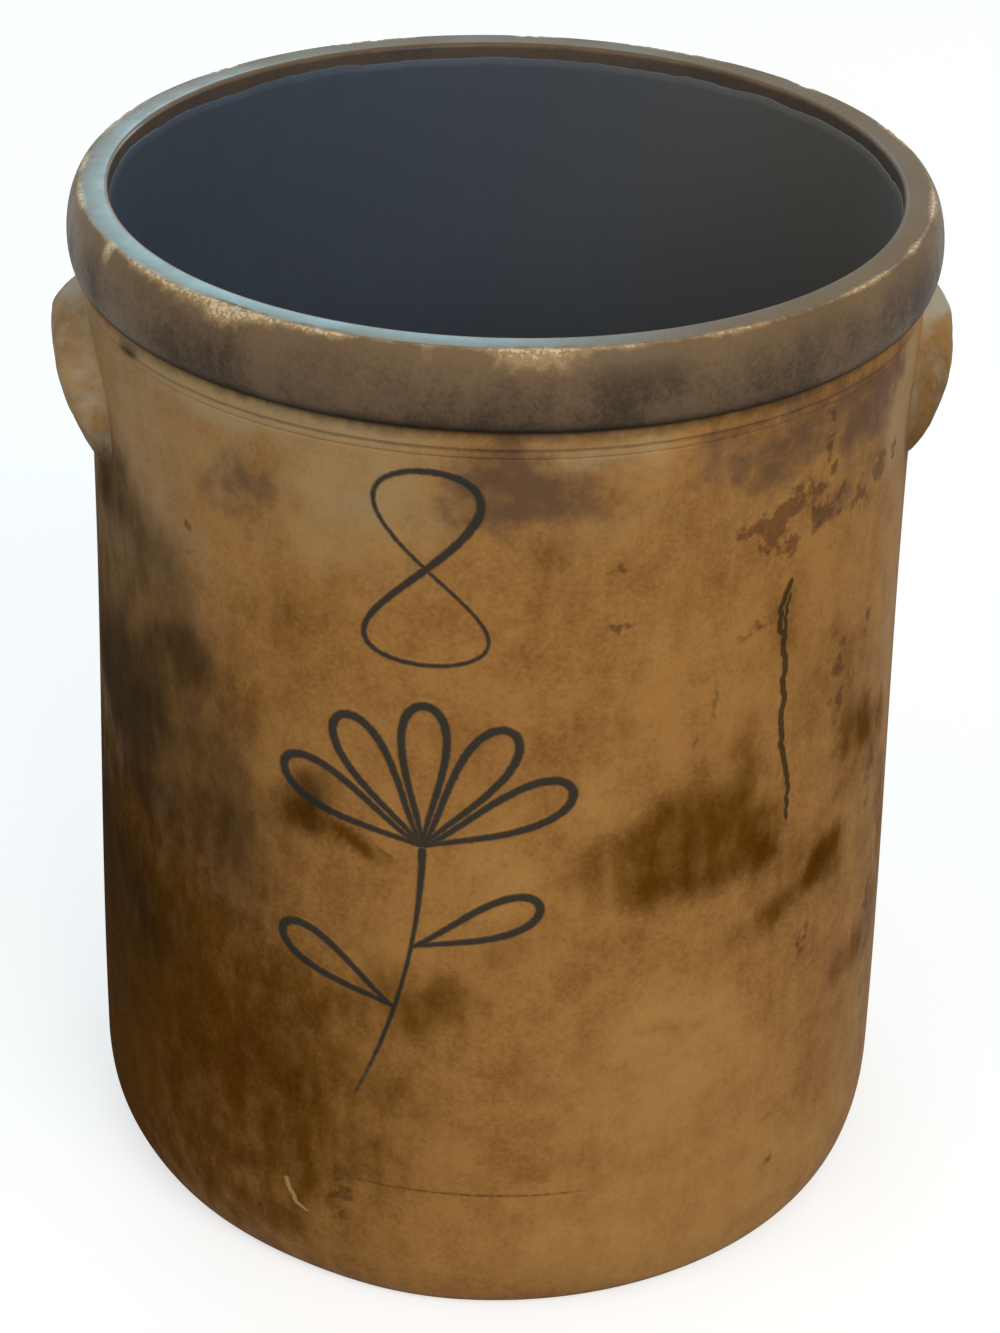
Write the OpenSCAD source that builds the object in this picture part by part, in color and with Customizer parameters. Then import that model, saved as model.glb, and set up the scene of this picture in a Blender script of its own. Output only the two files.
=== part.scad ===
// Stoneware crock of eight gallons: a thrown wall on a slab floor, a rolled rim,
// two ear handles luted on under it, a dark slip lining and trailed slip drawing.
// Millimetres. The crock stands on z = 0 with its axis on Z and its ears on X.

/* [Body] */
// Height of the whole crock
crock_h = 425; // [380:1:470]
// Radius of the straight inside and of the mouth: every other radius follows from it
mouth_r = 152; // [135:0.5:175]
// Thickness of the wall at its neck: the inside is straight, so it is thickest low down
wall_t = 11; // [9:0.5:13]
// How far the widest line of the wall, low down, stands out past the neck
belly_swell = 4; // [1:0.25:9]
// Height of that widest line
belly_z = 36; // [28:1:50]
// How far the slimmest line of the wall lies in from the neck
waist_dip = 1; // [0:0.25:3]
// Drop from the lip to that slimmest line
waist_drop = 95; // [75:1:145]
// How far the foot tucks in under the widest line
foot_tuck = 11; // [6:0.5:17]
// Thickness of the floor slab
floor_t = 14; // [11:0.5:18]
// Radius of the cove where wall and floor meet inside
cove_r = 15; // [10:1:20]

/* [Rim] */
// Width of the flat top of the lip, up to the ridge
lip_w = 11; // [8:0.5:12]
// Rounding of the lip's inner edge
lip_round = 2; // [1:0.25:3]
// How far the rolled rim stands out past the neck
rim_overhang = 5.5; // [3:0.5:8]
// Height of the rolled rim
rim_h = 31; // [26:1:36]
// Drop from the lip to the roll's widest line
roll_drop = 18.5; // [15:0.5:22]
// Depth of the roll's curve, inwards from its widest line
roll_depth = 9; // [8:0.5:11]
// Height of the wall's tongue inside the roll
lap_h = 12; // [8:1:14]
// Thickness of that tongue
lap_t = 5.5; // [4:0.5:7]

/* [Lines under the rim] */
// Height of the low band under the roll
band_h = 7.5; // [5:0.5:10]
// How far the band stands out from the wall
band_rise = 0.8; // [0.4:0.1:1.5]
// Gap from the band to the second turned line
line_gap = 3.4; // [2.5:0.1:5]
// Width of a turned line
line_w = 1.2; // [0.8:0.1:1.6]
// Depth of a turned line
line_depth = 0.5; // [0.3:0.1:0.8]

/* [Floor joint] */
// Width of the wall's step that carries the floor slab
step_w = 6; // [4:0.5:10]
// Height of that step
step_h = 7; // [5:0.5:9]

/* [Ear handles] */
// Drop from the lip to the middle of the strap at the top of an ear's arch
ear_drop = 57.5; // [54:0.5:64]
// Height of an ear's arch, from the foot line to the middle of its top
ear_rise = 30; // [26:1:38]
// Distance from an ear's middle to the middle of one of its feet
ear_half_span = 42; // [36:1:48]
// Width of the strap's inner half, where the fingers hook under the arch
ear_inner_w = 11; // [9:0.5:13]
// Width of the strap's outer half, which is smeared on to the wall, at the top
ear_outer_w = 17; // [13:0.5:20]
// Width of that outer half at the foot line
ear_foot_w = 14; // [10:0.5:18]
// How far the ear stands out from the wall
ear_out = 13.5; // [11:0.5:17]
// Height over which the strap thins down to its smeared end
ear_taper = 40; // [32:1:42]
// Length of the smeared end of a foot, below the foot line
smear_l = 12; // [8:1:16]
// Thickness of the smeared end, and of the strap's edges on the wall
smear_t = 0.8; // [0.5:0.1:1.5]

/* [Lining] */
// Thickness of the dark slip inside
lining_t = 0.8; // [0.6:0.1:1.5]
// Drop from the lip to the upper edge of the dark slip
lining_drop = 5; // [4:0.5:9]

/* [Slip drawing] */
// Turn of the drawing round the axis, from the front towards the left ear
drawing_turn = 14; // [0:1:25]
// Thickness of the trailed slip
trail_t = 0.5; // [0.4:0.1:0.8]
// Width of a trailed line where the cup was held still
trail_w = 4; // [3:0.25:5]
// Width of a line where it was drawn fast
trail_thin_w = 2.2; // [1.5:0.1:2.75]
// Height of the capacity number
number_h = 78; // [60:1:84]
// Width of the capacity number
number_w = 42; // [30:1:54]
// Drop from the lip to the middle of the number
number_drop = 87; // [85:1:93]
// Drop from the lip to the flower's heart
flower_drop = 203; // [195:1:220]
// Length of a petal of the flower
petal_l = 60; // [40:1:62]
// Width of a petal
petal_w = 17; // [12:1:20]
// Length of the stem, down from the heart
stem_l = 118; // [100:1:125]
// Sideways sweep of the stem
stem_sweep = 26; // [8:1:30]
// Length of a leaf
leaf_l = 52; // [40:1:56]
// Width of a leaf
leaf_w = 15; // [10:1:18]

/* [Hidden] */

clay_colour = "#966e3c";
shade_clay_colour = "#6e5434";
lining_colour = "#2b3035";
cobalt_colour = "#262b29";

// Facets round the axis, and steps along the curved profiles
round_steps = 180;
wall_steps = 28;
heel_steps = 12;
roll_steps = 12;
cove_steps = 8;
lip_steps = 5;
// Overrun of every cut
over = 1;

// The wall ends under the roll, at its neck, and all radii are counted from the mouth's
neck_z = crock_h - rim_h;
neck_r = mouth_r + wall_t;
waist_z = crock_h - waist_drop;
waist_r = neck_r - waist_dip;
belly_r = neck_r + belly_swell;
foot_r = belly_r - foot_tuck;
rim_r = neck_r + rim_overhang;
band_r = neck_r + band_rise;
band_z = neck_z - band_h;
ridge_r = mouth_r + lip_w;

// The drawing hangs from the lip too
number_z = crock_h - number_drop;
flower_z = crock_h - flower_drop;

// Radius of the wall's outside at height z, from the foot to the neck
function ease(a, b, share) = a + (b - a) * (1 - cos(180 * share)) / 2;
function heel_r(z) = foot_r + (belly_r - foot_r) * sqrt(1 - pow(1 - z / belly_z, 2));
function outer_r(z) =
    z < belly_z ? heel_r(z)
    : z < waist_z ? ease(belly_r, waist_r, (z - belly_z) / (waist_z - belly_z))
    : ease(waist_r, neck_r, (z - waist_z) / (neck_z - waist_z));

// The cove inside starts where it touches the wall and ends on the floor
cove_z = floor_t + cove_r;
cove_mid_r = mouth_r - cove_r;

function heel_points() = [
    for (i = [0:heel_steps])
        let (a = 90 * i / heel_steps)
        [foot_r + (belly_r - foot_r) * sin(a), belly_z * (1 - cos(a))]
];

// A turned line is a V cut at height z
function line_points(z) = [
    [outer_r(z - line_w / 2), z - line_w / 2],
    [outer_r(z) - line_depth, z],
    [outer_r(z + line_w / 2), z + line_w / 2],
];
lower_line_z = band_z - line_gap;
upper_line_z = band_z - line_w / 2;
side_top_z = lower_line_z - line_w;

// Heights of the rings between the widest line and the turned lines
function side_z(i) = belly_z + (side_top_z - belly_z) * i / wall_steps;
function side_points(grow) = [for (i = [1:wall_steps]) [outer_r(side_z(i)) + grow, side_z(i)]];

function outside_points() = concat(
    heel_points(),
    side_points(0),
    line_points(lower_line_z),
    line_points(upper_line_z),
    [[band_r, band_z + band_rise], [band_r, neck_z]]
);

// The inside of the clay, moved in by grow, from the height top_z down to the floor
function inside_points(top_z, grow) = concat(
    [[mouth_r - grow, top_z]],
    [
        for (i = [0:cove_steps])
            let (a = 90 * i / cove_steps)
            [cove_mid_r + (cove_r - grow) * cos(a), cove_z - (cove_r - grow) * sin(a)]
    ]
);

module turned(points) {
    rotate_extrude($fn = round_steps) polygon(points);
}

// The slab drops into the step inside the wall's foot
module floor_slab() {
    color(clay_colour)
        turned([
            [0, 0],
            [cove_mid_r - step_w, 0],
            [cove_mid_r - step_w, step_h],
            [cove_mid_r, step_h],
            [cove_mid_r, floor_t],
            [0, floor_t],
        ]);
}

module wall() {
    color(clay_colour)
        turned(concat(
            [[cove_mid_r - step_w, 0]],
            outside_points(),
            [
                [mouth_r + lap_t, neck_z],
                [mouth_r + lap_t, neck_z + lap_h],
            ],
            inside_points(neck_z + lap_h, 0),
            [[cove_mid_r, step_h], [cove_mid_r - step_w, step_h]]
        ));
}

// The roll is widest at roll_drop, tucks in under itself and meets the lip at a ridge
roll_mid_r = rim_r - roll_depth;
ridge_angle = asin((ridge_r - roll_mid_r) / roll_depth);
roll_up = roll_drop / cos(ridge_angle);
tuck_r = band_r;

module rolled_rim() {
    color(shade_clay_colour)
        turned(concat(
            [
                for (i = [0:lip_steps])
                    let (a = 90 * i / lip_steps)
                    [mouth_r + lip_round * (1 - cos(a)), crock_h - lip_round * (1 - sin(a))]
            ],
            [
                for (i = [0:roll_steps])
                    let (a = ridge_angle + (90 - ridge_angle) * i / roll_steps)
                    [roll_mid_r + roll_depth * sin(a), crock_h - roll_drop + roll_up * cos(a)]
            ],
            [
                for (i = [1:roll_steps])
                    let (a = 90 * i / roll_steps)
                    [
                        tuck_r + (rim_r - tuck_r) * cos(a),
                        crock_h - roll_drop - (rim_h - roll_drop) * sin(a)
                    ]
            ],
            [
                [mouth_r + lap_t, neck_z],
                [mouth_r + lap_t, neck_z + lap_h],
                [mouth_r, neck_z + lap_h],
            ]
        ));
}

// An ear is a strap bent into an arch on the wall. Its path lies on the wall's
// surface. Its section is steep on the inside of the arch and runs out softly on the
// outside, and it thins down towards each foot.
arch_steps = 36;
smear_steps = 6;
ear_steps = arch_steps + 2 * smear_steps;
ear_section_steps = 18;
ear_sink = 4;
ear_boxy = 0.7;
bell_top = 2.4;
bell_foot = 1.5;
ear_feet_z = crock_h - ear_drop - ear_rise;

// Share of the way out along a foot's smeared end, nothing on the arch itself
function smear_share(i) =
    i < smear_steps ? 1 - (i + 1) / (smear_steps + 1)
    : i > ear_steps - smear_steps ? 1 - (ear_steps - i + 1) / (smear_steps + 1)
    : 0;
function ear_angle(i) = 180 * min(max((i - smear_steps) / arch_steps, 0), 1);
function ear_z(i) = ear_feet_z + ear_rise * sin(ear_angle(i)) - smear_l * smear_share(i);
function ear_height(i) =
    let (up = (ear_z(i) - ear_feet_z + smear_l) / ear_taper)
    smear_t + (ear_out - smear_t) * (1 - pow(1 - min(1, up), 2));
function ear_outer_half(i) = ear_foot_w + (ear_outer_w - ear_foot_w) * sin(ear_angle(i));
function narrowing(i) = sqrt(1 - pow(smear_share(i), 2));
function bow(v) = sign(v) * pow(abs(v), ear_boxy);
function bell(v) = pow(1 - pow(v, bell_top), bell_foot);

// A point side mm along the wall from the ear's middle, at height z, out mm off the wall
function on_wall(side, z, out) =
    let (turn = side / neck_r * 180 / PI, r = outer_r(z) + out)
    [r * cos(turn), r * sin(turn), z];

// One section: outwards across the strap, and off the wall by the strap's height
function ear_section(i) =
    let (
        a = ear_angle(i),
        side = -ear_half_span * cos(a),
        z = ear_z(i),
        run = [ear_half_span * sin(a), ear_rise * cos(a)],
        across = [-run[1], run[0]] / norm(run),
        outer_half = ear_outer_half(i) * narrowing(i),
        inner_half = ear_inner_w * narrowing(i)
    )
    concat(
        [
            for (k = [0:ear_section_steps])
                let (
                    b = 180 * k / ear_section_steps,
                    outside = cos(b) > 0,
                    shift = outside ? outer_half * cos(b) : inner_half * bow(cos(b)),
                    share = outside ? bell(cos(b)) : bow(sin(b)),
                    out = smear_t + (ear_height(i) - smear_t) * share
                )
                on_wall(side + across[0] * shift, z + across[1] * shift, out)
        ],
        [
            on_wall(side - across[0] * inner_half, z - across[1] * inner_half, -ear_sink),
            on_wall(side + across[0] * outer_half, z + across[1] * outer_half, -ear_sink),
        ]
    );

module ear_strap() {
    sections = [for (i = [0:ear_steps]) ear_section(i)];
    count = len(sections[0]);
    skin = [
        for (i = [0:ear_steps - 1], k = [0:count - 1])
            let (next = (k + 1) % count, a = i * count, b = a + count)
            each [[a + k, b + next, a + next], [a + k, b + k, b + next]]
    ];
    last = ear_steps * count;
    ends = [
        [for (k = [0:count - 1]) k],
        [for (k = [0:count - 1]) last + count - 1 - k],
    ];
    polyhedron([for (section = sections) each section], concat(skin, ends));
}

// The back of the strap is pressed to the wall, so it has the wall's own curve
module ear() {
    difference() {
        ear_strap();
        turned(concat([[0, 0]], outside_points(), [[0, neck_z]]));
    }
}

module right_ear() {
    color(clay_colour) ear();
}

module left_ear() {
    color(clay_colour) rotate([0, 0, 180]) ear();
}

// The slip is poured round and out again, so it covers wall, cove and floor alike
module slip_lining() {
    top_z = crock_h - lining_drop;
    outer = concat(inside_points(top_z, 0), [[0, floor_t]]);
    inner = concat(inside_points(top_z, lining_t), [[0, floor_t + lining_t]]);
    count = len(inner);
    color(lining_colour)
        turned(concat(outer, [for (i = [1:count]) inner[count - i]]));
}

// Trailed lines are drawn in front elevation and laid on the wall. Each is made of
// overlapping stretches, so a line may cross itself.
trail_steps = 48;
trail_stretches = 6;
trail_overlap_steps = 1;

function path_run(path, i) =
    let (last = len(path) - 1, a = path[max(i - 1, 0)], b = path[min(i + 1, last)])
    (b - a) / norm(b - a);

// A trailed line goes from one width through another to a third
module trail(path, start_w, middle_w, end_w) {
    last = len(path) - 1;
    stretch = last / trail_stretches;
    function width(share) =
        let (swell = sin(180 * share))
        (start_w * (1 - share) + end_w * share) * (1 - swell) + middle_w * swell;
    function side(i, sign) =
        let (run = path_run(path, i))
        path[i] + sign * width(i / last) / 2 * [-run[1], run[0]];
    for (k = [0:trail_stretches - 1]) {
        first = max(k * stretch - trail_overlap_steps, 0);
        final = (k + 1) * stretch;
        polygon(concat(
            [for (i = [first:final]) side(i, 1)],
            [for (i = [first:final]) side(first + final - i, -1)]
        ));
    }
}

// Everything drawn is cut out of a skin as thick as the slip, on the wall's own curve
module laid_on_wall() {
    skin = side_points(trail_t);
    back = side_points(0);
    count = len(back);
    rotate([0, 0, -drawing_turn])
        intersection() {
            turned(concat(skin, [for (i = [1:count]) back[count - i]]));
            rotate([90, 0, 0])
                linear_extrude(belly_r + trail_t + over) children();
        }
}

// The figure eight crosses itself once, and its lower loop is the fuller one
number_loop_share = 0.12;
number_start = 60;

function number_point(a) =
    let (full = 1 - number_loop_share * cos(a))
    [number_w / 2 * sin(2 * a) * full, number_z + number_h / 2 * cos(a)];

module number_trail() {
    path = [for (i = [0:trail_steps]) number_point(number_start + 360 * i / trail_steps)];
    color(cobalt_colour)
        laid_on_wall() trail(path, trail_w, trail_thin_w, trail_w);
}

// A petal or leaf is a closed loop that leaves its root, fills out towards its tip
// and comes back. Its curve's own half width is the share below at the fullest place.
loop_peak_share = 0.65;

function loop_path(root, turn, length, width) = [
    for (i = [0:trail_steps])
        let (
            a = 360 * i / trail_steps,
            along = length * (1 - cos(a)) / 2,
            across = width / 2 / loop_peak_share * sin(a) * (1 - cos(a)) / 2
        )
        root + [along * cos(turn) - across * sin(turn), along * sin(turn) + across * cos(turn)]
];

petal_turns = [26, 58, 90, 122, 154];
leaf_turns = [24, 150];
leaf_place_shares = [0.38, 0.62];

function stem_point(share) = [-stem_sweep * share * share, flower_z - stem_l * share];

module flower_trail() {
    stem = [for (i = [0:trail_steps]) stem_point(i / trail_steps)];
    color(cobalt_colour)
        laid_on_wall() {
            for (turn = petal_turns)
                trail(
                    loop_path([0, flower_z], turn, petal_l, petal_w),
                    trail_thin_w, trail_w, trail_thin_w
                );
            for (i = [0:len(leaf_turns) - 1])
                trail(
                    loop_path(stem_point(leaf_place_shares[i]), leaf_turns[i], leaf_l, leaf_w),
                    trail_thin_w, trail_w, trail_thin_w
                );
            trail(stem, trail_w, trail_thin_w, trail_thin_w);
        }
}

floor_slab();
wall();
rolled_rim();
left_ear();
right_ear();
slip_lining();
number_trail();
flower_trail();
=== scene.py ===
"""Looks of a stoneware crock: a thrown body, a rolled rim, two ear handles, a dark
slip lining and a trailed slip drawing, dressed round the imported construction.

Lengths are in metres. The crock stands on z = 0 with its axis on Z, its ears on X
and the middle of its front on -Y. An azimuth is counted in degrees from that front,
positive towards the right ear.
"""

from __future__ import annotations

import logging
import math
from collections.abc import Sequence
from dataclasses import dataclass, field
from enum import Enum
from functools import cached_property

import bmesh
import bpy
import numpy as np
from mathutils import Euler, Matrix, Vector, noise

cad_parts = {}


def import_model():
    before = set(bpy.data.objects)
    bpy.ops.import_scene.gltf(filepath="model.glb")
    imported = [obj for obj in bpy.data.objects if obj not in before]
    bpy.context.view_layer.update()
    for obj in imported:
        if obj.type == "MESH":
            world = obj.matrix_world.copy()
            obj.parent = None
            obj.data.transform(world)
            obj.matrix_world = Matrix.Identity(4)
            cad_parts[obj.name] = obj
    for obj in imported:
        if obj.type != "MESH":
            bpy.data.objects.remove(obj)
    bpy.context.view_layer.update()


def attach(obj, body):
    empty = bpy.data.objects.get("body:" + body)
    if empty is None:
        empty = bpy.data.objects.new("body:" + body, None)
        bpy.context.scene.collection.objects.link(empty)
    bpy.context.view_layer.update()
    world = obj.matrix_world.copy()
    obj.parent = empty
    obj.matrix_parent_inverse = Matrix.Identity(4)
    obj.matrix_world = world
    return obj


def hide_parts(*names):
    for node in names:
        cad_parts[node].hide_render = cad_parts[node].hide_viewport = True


MM = 0.001
FULL_TURN = 2 * math.pi
WEDGES = 12
LOG = logging.getLogger("crock")

Socket = bpy.types.NodeSocket
Value = bpy.types.NodeSocket | float


class Layer(Enum):
    """The painted layers that the finishes read from a mesh as point attributes."""

    SOOT = "soot"
    AMBER = "amber"
    BLUSH = "blush"
    PALE = "pale"
    HAZE = "haze"
    IRON = "iron"
    WEAR = "wear"
    GRIME = "grime"
    BARE = "bare"
    STROKE = "stroke"
    LIP = "lip"
    CROWN = "crown"
    INSIDE = "inside"


KILN_LAYERS = (Layer.SOOT, Layer.AMBER, Layer.BLUSH, Layer.PALE, Layer.HAZE, Layer.IRON)


class Reading(Enum):
    """The coordinates that a layer's noise is read at, so that no two break up alike."""

    PLAIN = "plain"
    APART = "apart"
    STREAKED = "streaked"


class Side(Enum):
    """The side of the crock that an ear is on, as the sign of its x."""

    LEFT = -1
    RIGHT = 1


@dataclass(frozen=True)
class Shape:
    """The crock's own sizes, repeated from its construction."""

    height: float = 425 * MM
    mouth_r: float = 152 * MM
    wall_t: float = 11 * MM
    belly_swell: float = 4 * MM
    belly_z: float = 36 * MM
    waist_dip: float = 1 * MM
    waist_drop: float = 95 * MM
    foot_tuck: float = 11 * MM
    floor_t: float = 14 * MM
    cove_r: float = 15 * MM
    lip_w: float = 11 * MM
    lip_round: float = 2 * MM
    rim_overhang: float = 5.5 * MM
    rim_h: float = 31 * MM
    roll_drop: float = 18.5 * MM
    roll_depth: float = 9 * MM
    lap_h: float = 12 * MM
    lap_t: float = 5.5 * MM
    band_h: float = 7.5 * MM
    band_rise: float = 0.8 * MM
    line_gap: float = 3.4 * MM
    line_w: float = 1.2 * MM
    line_depth: float = 0.5 * MM
    step_w: float = 6 * MM
    step_h: float = 7 * MM

    @property
    def neck_z(self) -> float:
        """Height at which the wall ends under the roll."""
        return self.height - self.rim_h

    @property
    def neck_r(self) -> float:
        """Outer radius of the wall at that height."""
        return self.mouth_r + self.wall_t

    @property
    def belly_r(self) -> float:
        """Radius at the widest line of the wall."""
        return self.neck_r + self.belly_swell

    @property
    def waist_r(self) -> float:
        """Radius at the slimmest line of the wall."""
        return self.neck_r - self.waist_dip

    @property
    def waist_z(self) -> float:
        """Height of the slimmest line."""
        return self.height - self.waist_drop

    @property
    def foot_r(self) -> float:
        """Radius of the ring that the crock stands on."""
        return self.belly_r - self.foot_tuck

    @property
    def band_r(self) -> float:
        """Radius of the low band under the roll."""
        return self.neck_r + self.band_rise

    @property
    def band_z(self) -> float:
        """Height of that band's lower edge."""
        return self.neck_z - self.band_h

    @property
    def rim_r(self) -> float:
        """Widest radius of the rolled rim."""
        return self.neck_r + self.rim_overhang

    @property
    def ridge_r(self) -> float:
        """Radius of the ridge where the lip meets the roll."""
        return self.mouth_r + self.lip_w

    @property
    def cove_mid(self) -> float:
        """Radius of the middle of the cove's arc."""
        return self.mouth_r - self.cove_r

    @property
    def cove_z(self) -> float:
        """Height of that middle."""
        return self.floor_t + self.cove_r

    @property
    def lap_r(self) -> float:
        """Outer radius of the wall's tongue inside the rim."""
        return self.mouth_r + self.lap_t

    @property
    def lap_z(self) -> float:
        """Height of the tongue's top."""
        return self.neck_z + self.lap_h

    def side_r(self, z: np.ndarray | float) -> np.ndarray:
        """Radius of the wall's outside, from the foot to the neck.

        Args:
            z: Height above the foot.

        Returns:
            The radius at each height.
        """
        z = np.asarray(z, float)
        heel = np.sqrt(np.clip(1 - (1 - z / self.belly_z) ** 2, 0, 1))
        heel_r = self.foot_r + self.foot_tuck * heel
        low = ease(self.belly_r, self.waist_r, (z - self.belly_z) / (self.waist_z - self.belly_z))
        high = ease(self.waist_r, self.neck_r, (z - self.waist_z) / (self.neck_z - self.waist_z))
        return np.where(z < self.belly_z, heel_r, np.where(z < self.waist_z, low, high))


def ease(start: float, end: float, share: np.ndarray | float) -> np.ndarray:
    """A cosine blend from start to end.

    Args:
        start: Value at share 0.
        end: Value at share 1.
        share: Place between the two, held within them.

    Returns:
        The blended value.
    """
    held = np.clip(share, 0, 1)
    return start + (end - start) * (1 - np.cos(math.pi * held)) / 2


def hex_colour(code: str) -> tuple[float, float, float, float]:
    """Turns a display colour such as #966e3c into the linear one that shaders take.

    Args:
        code: Six hexadecimal digits after a hash sign.

    Returns:
        Red, green, blue and an alpha of 1.
    """
    shares = [int(code[place : place + 2], 16) / 255 for place in (1, 3, 5)]
    linear = [s / 12.92 if s <= 0.04045 else ((s + 0.055) / 1.055) ** 2.4 for s in shares]
    return (*linear, 1.0)


def rows(kind: type, *values: tuple[object, ...]) -> tuple[object, ...]:
    """Makes one item of a kind from each row of values, in the order of its fields."""
    return tuple(kind(*row) for row in values)


def turned_from(middle: float, azimuth: np.ndarray | float) -> np.ndarray | float:
    """An azimuth counted from another one, between -180 and 180 degrees."""
    return (azimuth - middle + 180) % 360 - 180


def bell(far: np.ndarray, width: float) -> np.ndarray:
    """A bell curve: 1 where far is 0, and about a third where it is the width."""
    return np.exp(-((far / width) ** 2))


@dataclass(frozen=True)
class Cloud:
    """One soft patch of kiln colour on the wall; some patches are painted light and some painted
    shade.

    The place is its azimuth in degrees and its height in millimetres. Half its
    width and half its height are in millimetres, and lean turns it anticlockwise.
    The higher edge is, the more abruptly it ends. A strength below zero clears colour away.
    """

    azimuth: float
    z: float
    half_w: float
    half_h: float
    strength: float
    lean: float = 0.0
    edge: float = 1.3

    def amount(self, azimuth: np.ndarray, z: np.ndarray, radius: float) -> np.ndarray:
        """How strongly the patch colours each point.

        Args:
            azimuth: Azimuths of the points, in degrees.
            z: Their heights in metres.
            radius: Radius at which widths are measured.

        Returns:
            A share from 0 to the patch's strength.
        """
        across = np.radians(turned_from(self.azimuth, azimuth)) * radius / MM
        up = z / MM - self.z
        c, s = math.cos(math.radians(self.lean)), math.sin(math.radians(self.lean))
        sideways = (across * c + up * s) / self.half_w
        upwards = (up * c - across * s) / self.half_h
        return self.strength * np.exp(-0.9 * (sideways**2 + upwards**2) ** self.edge)


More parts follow.
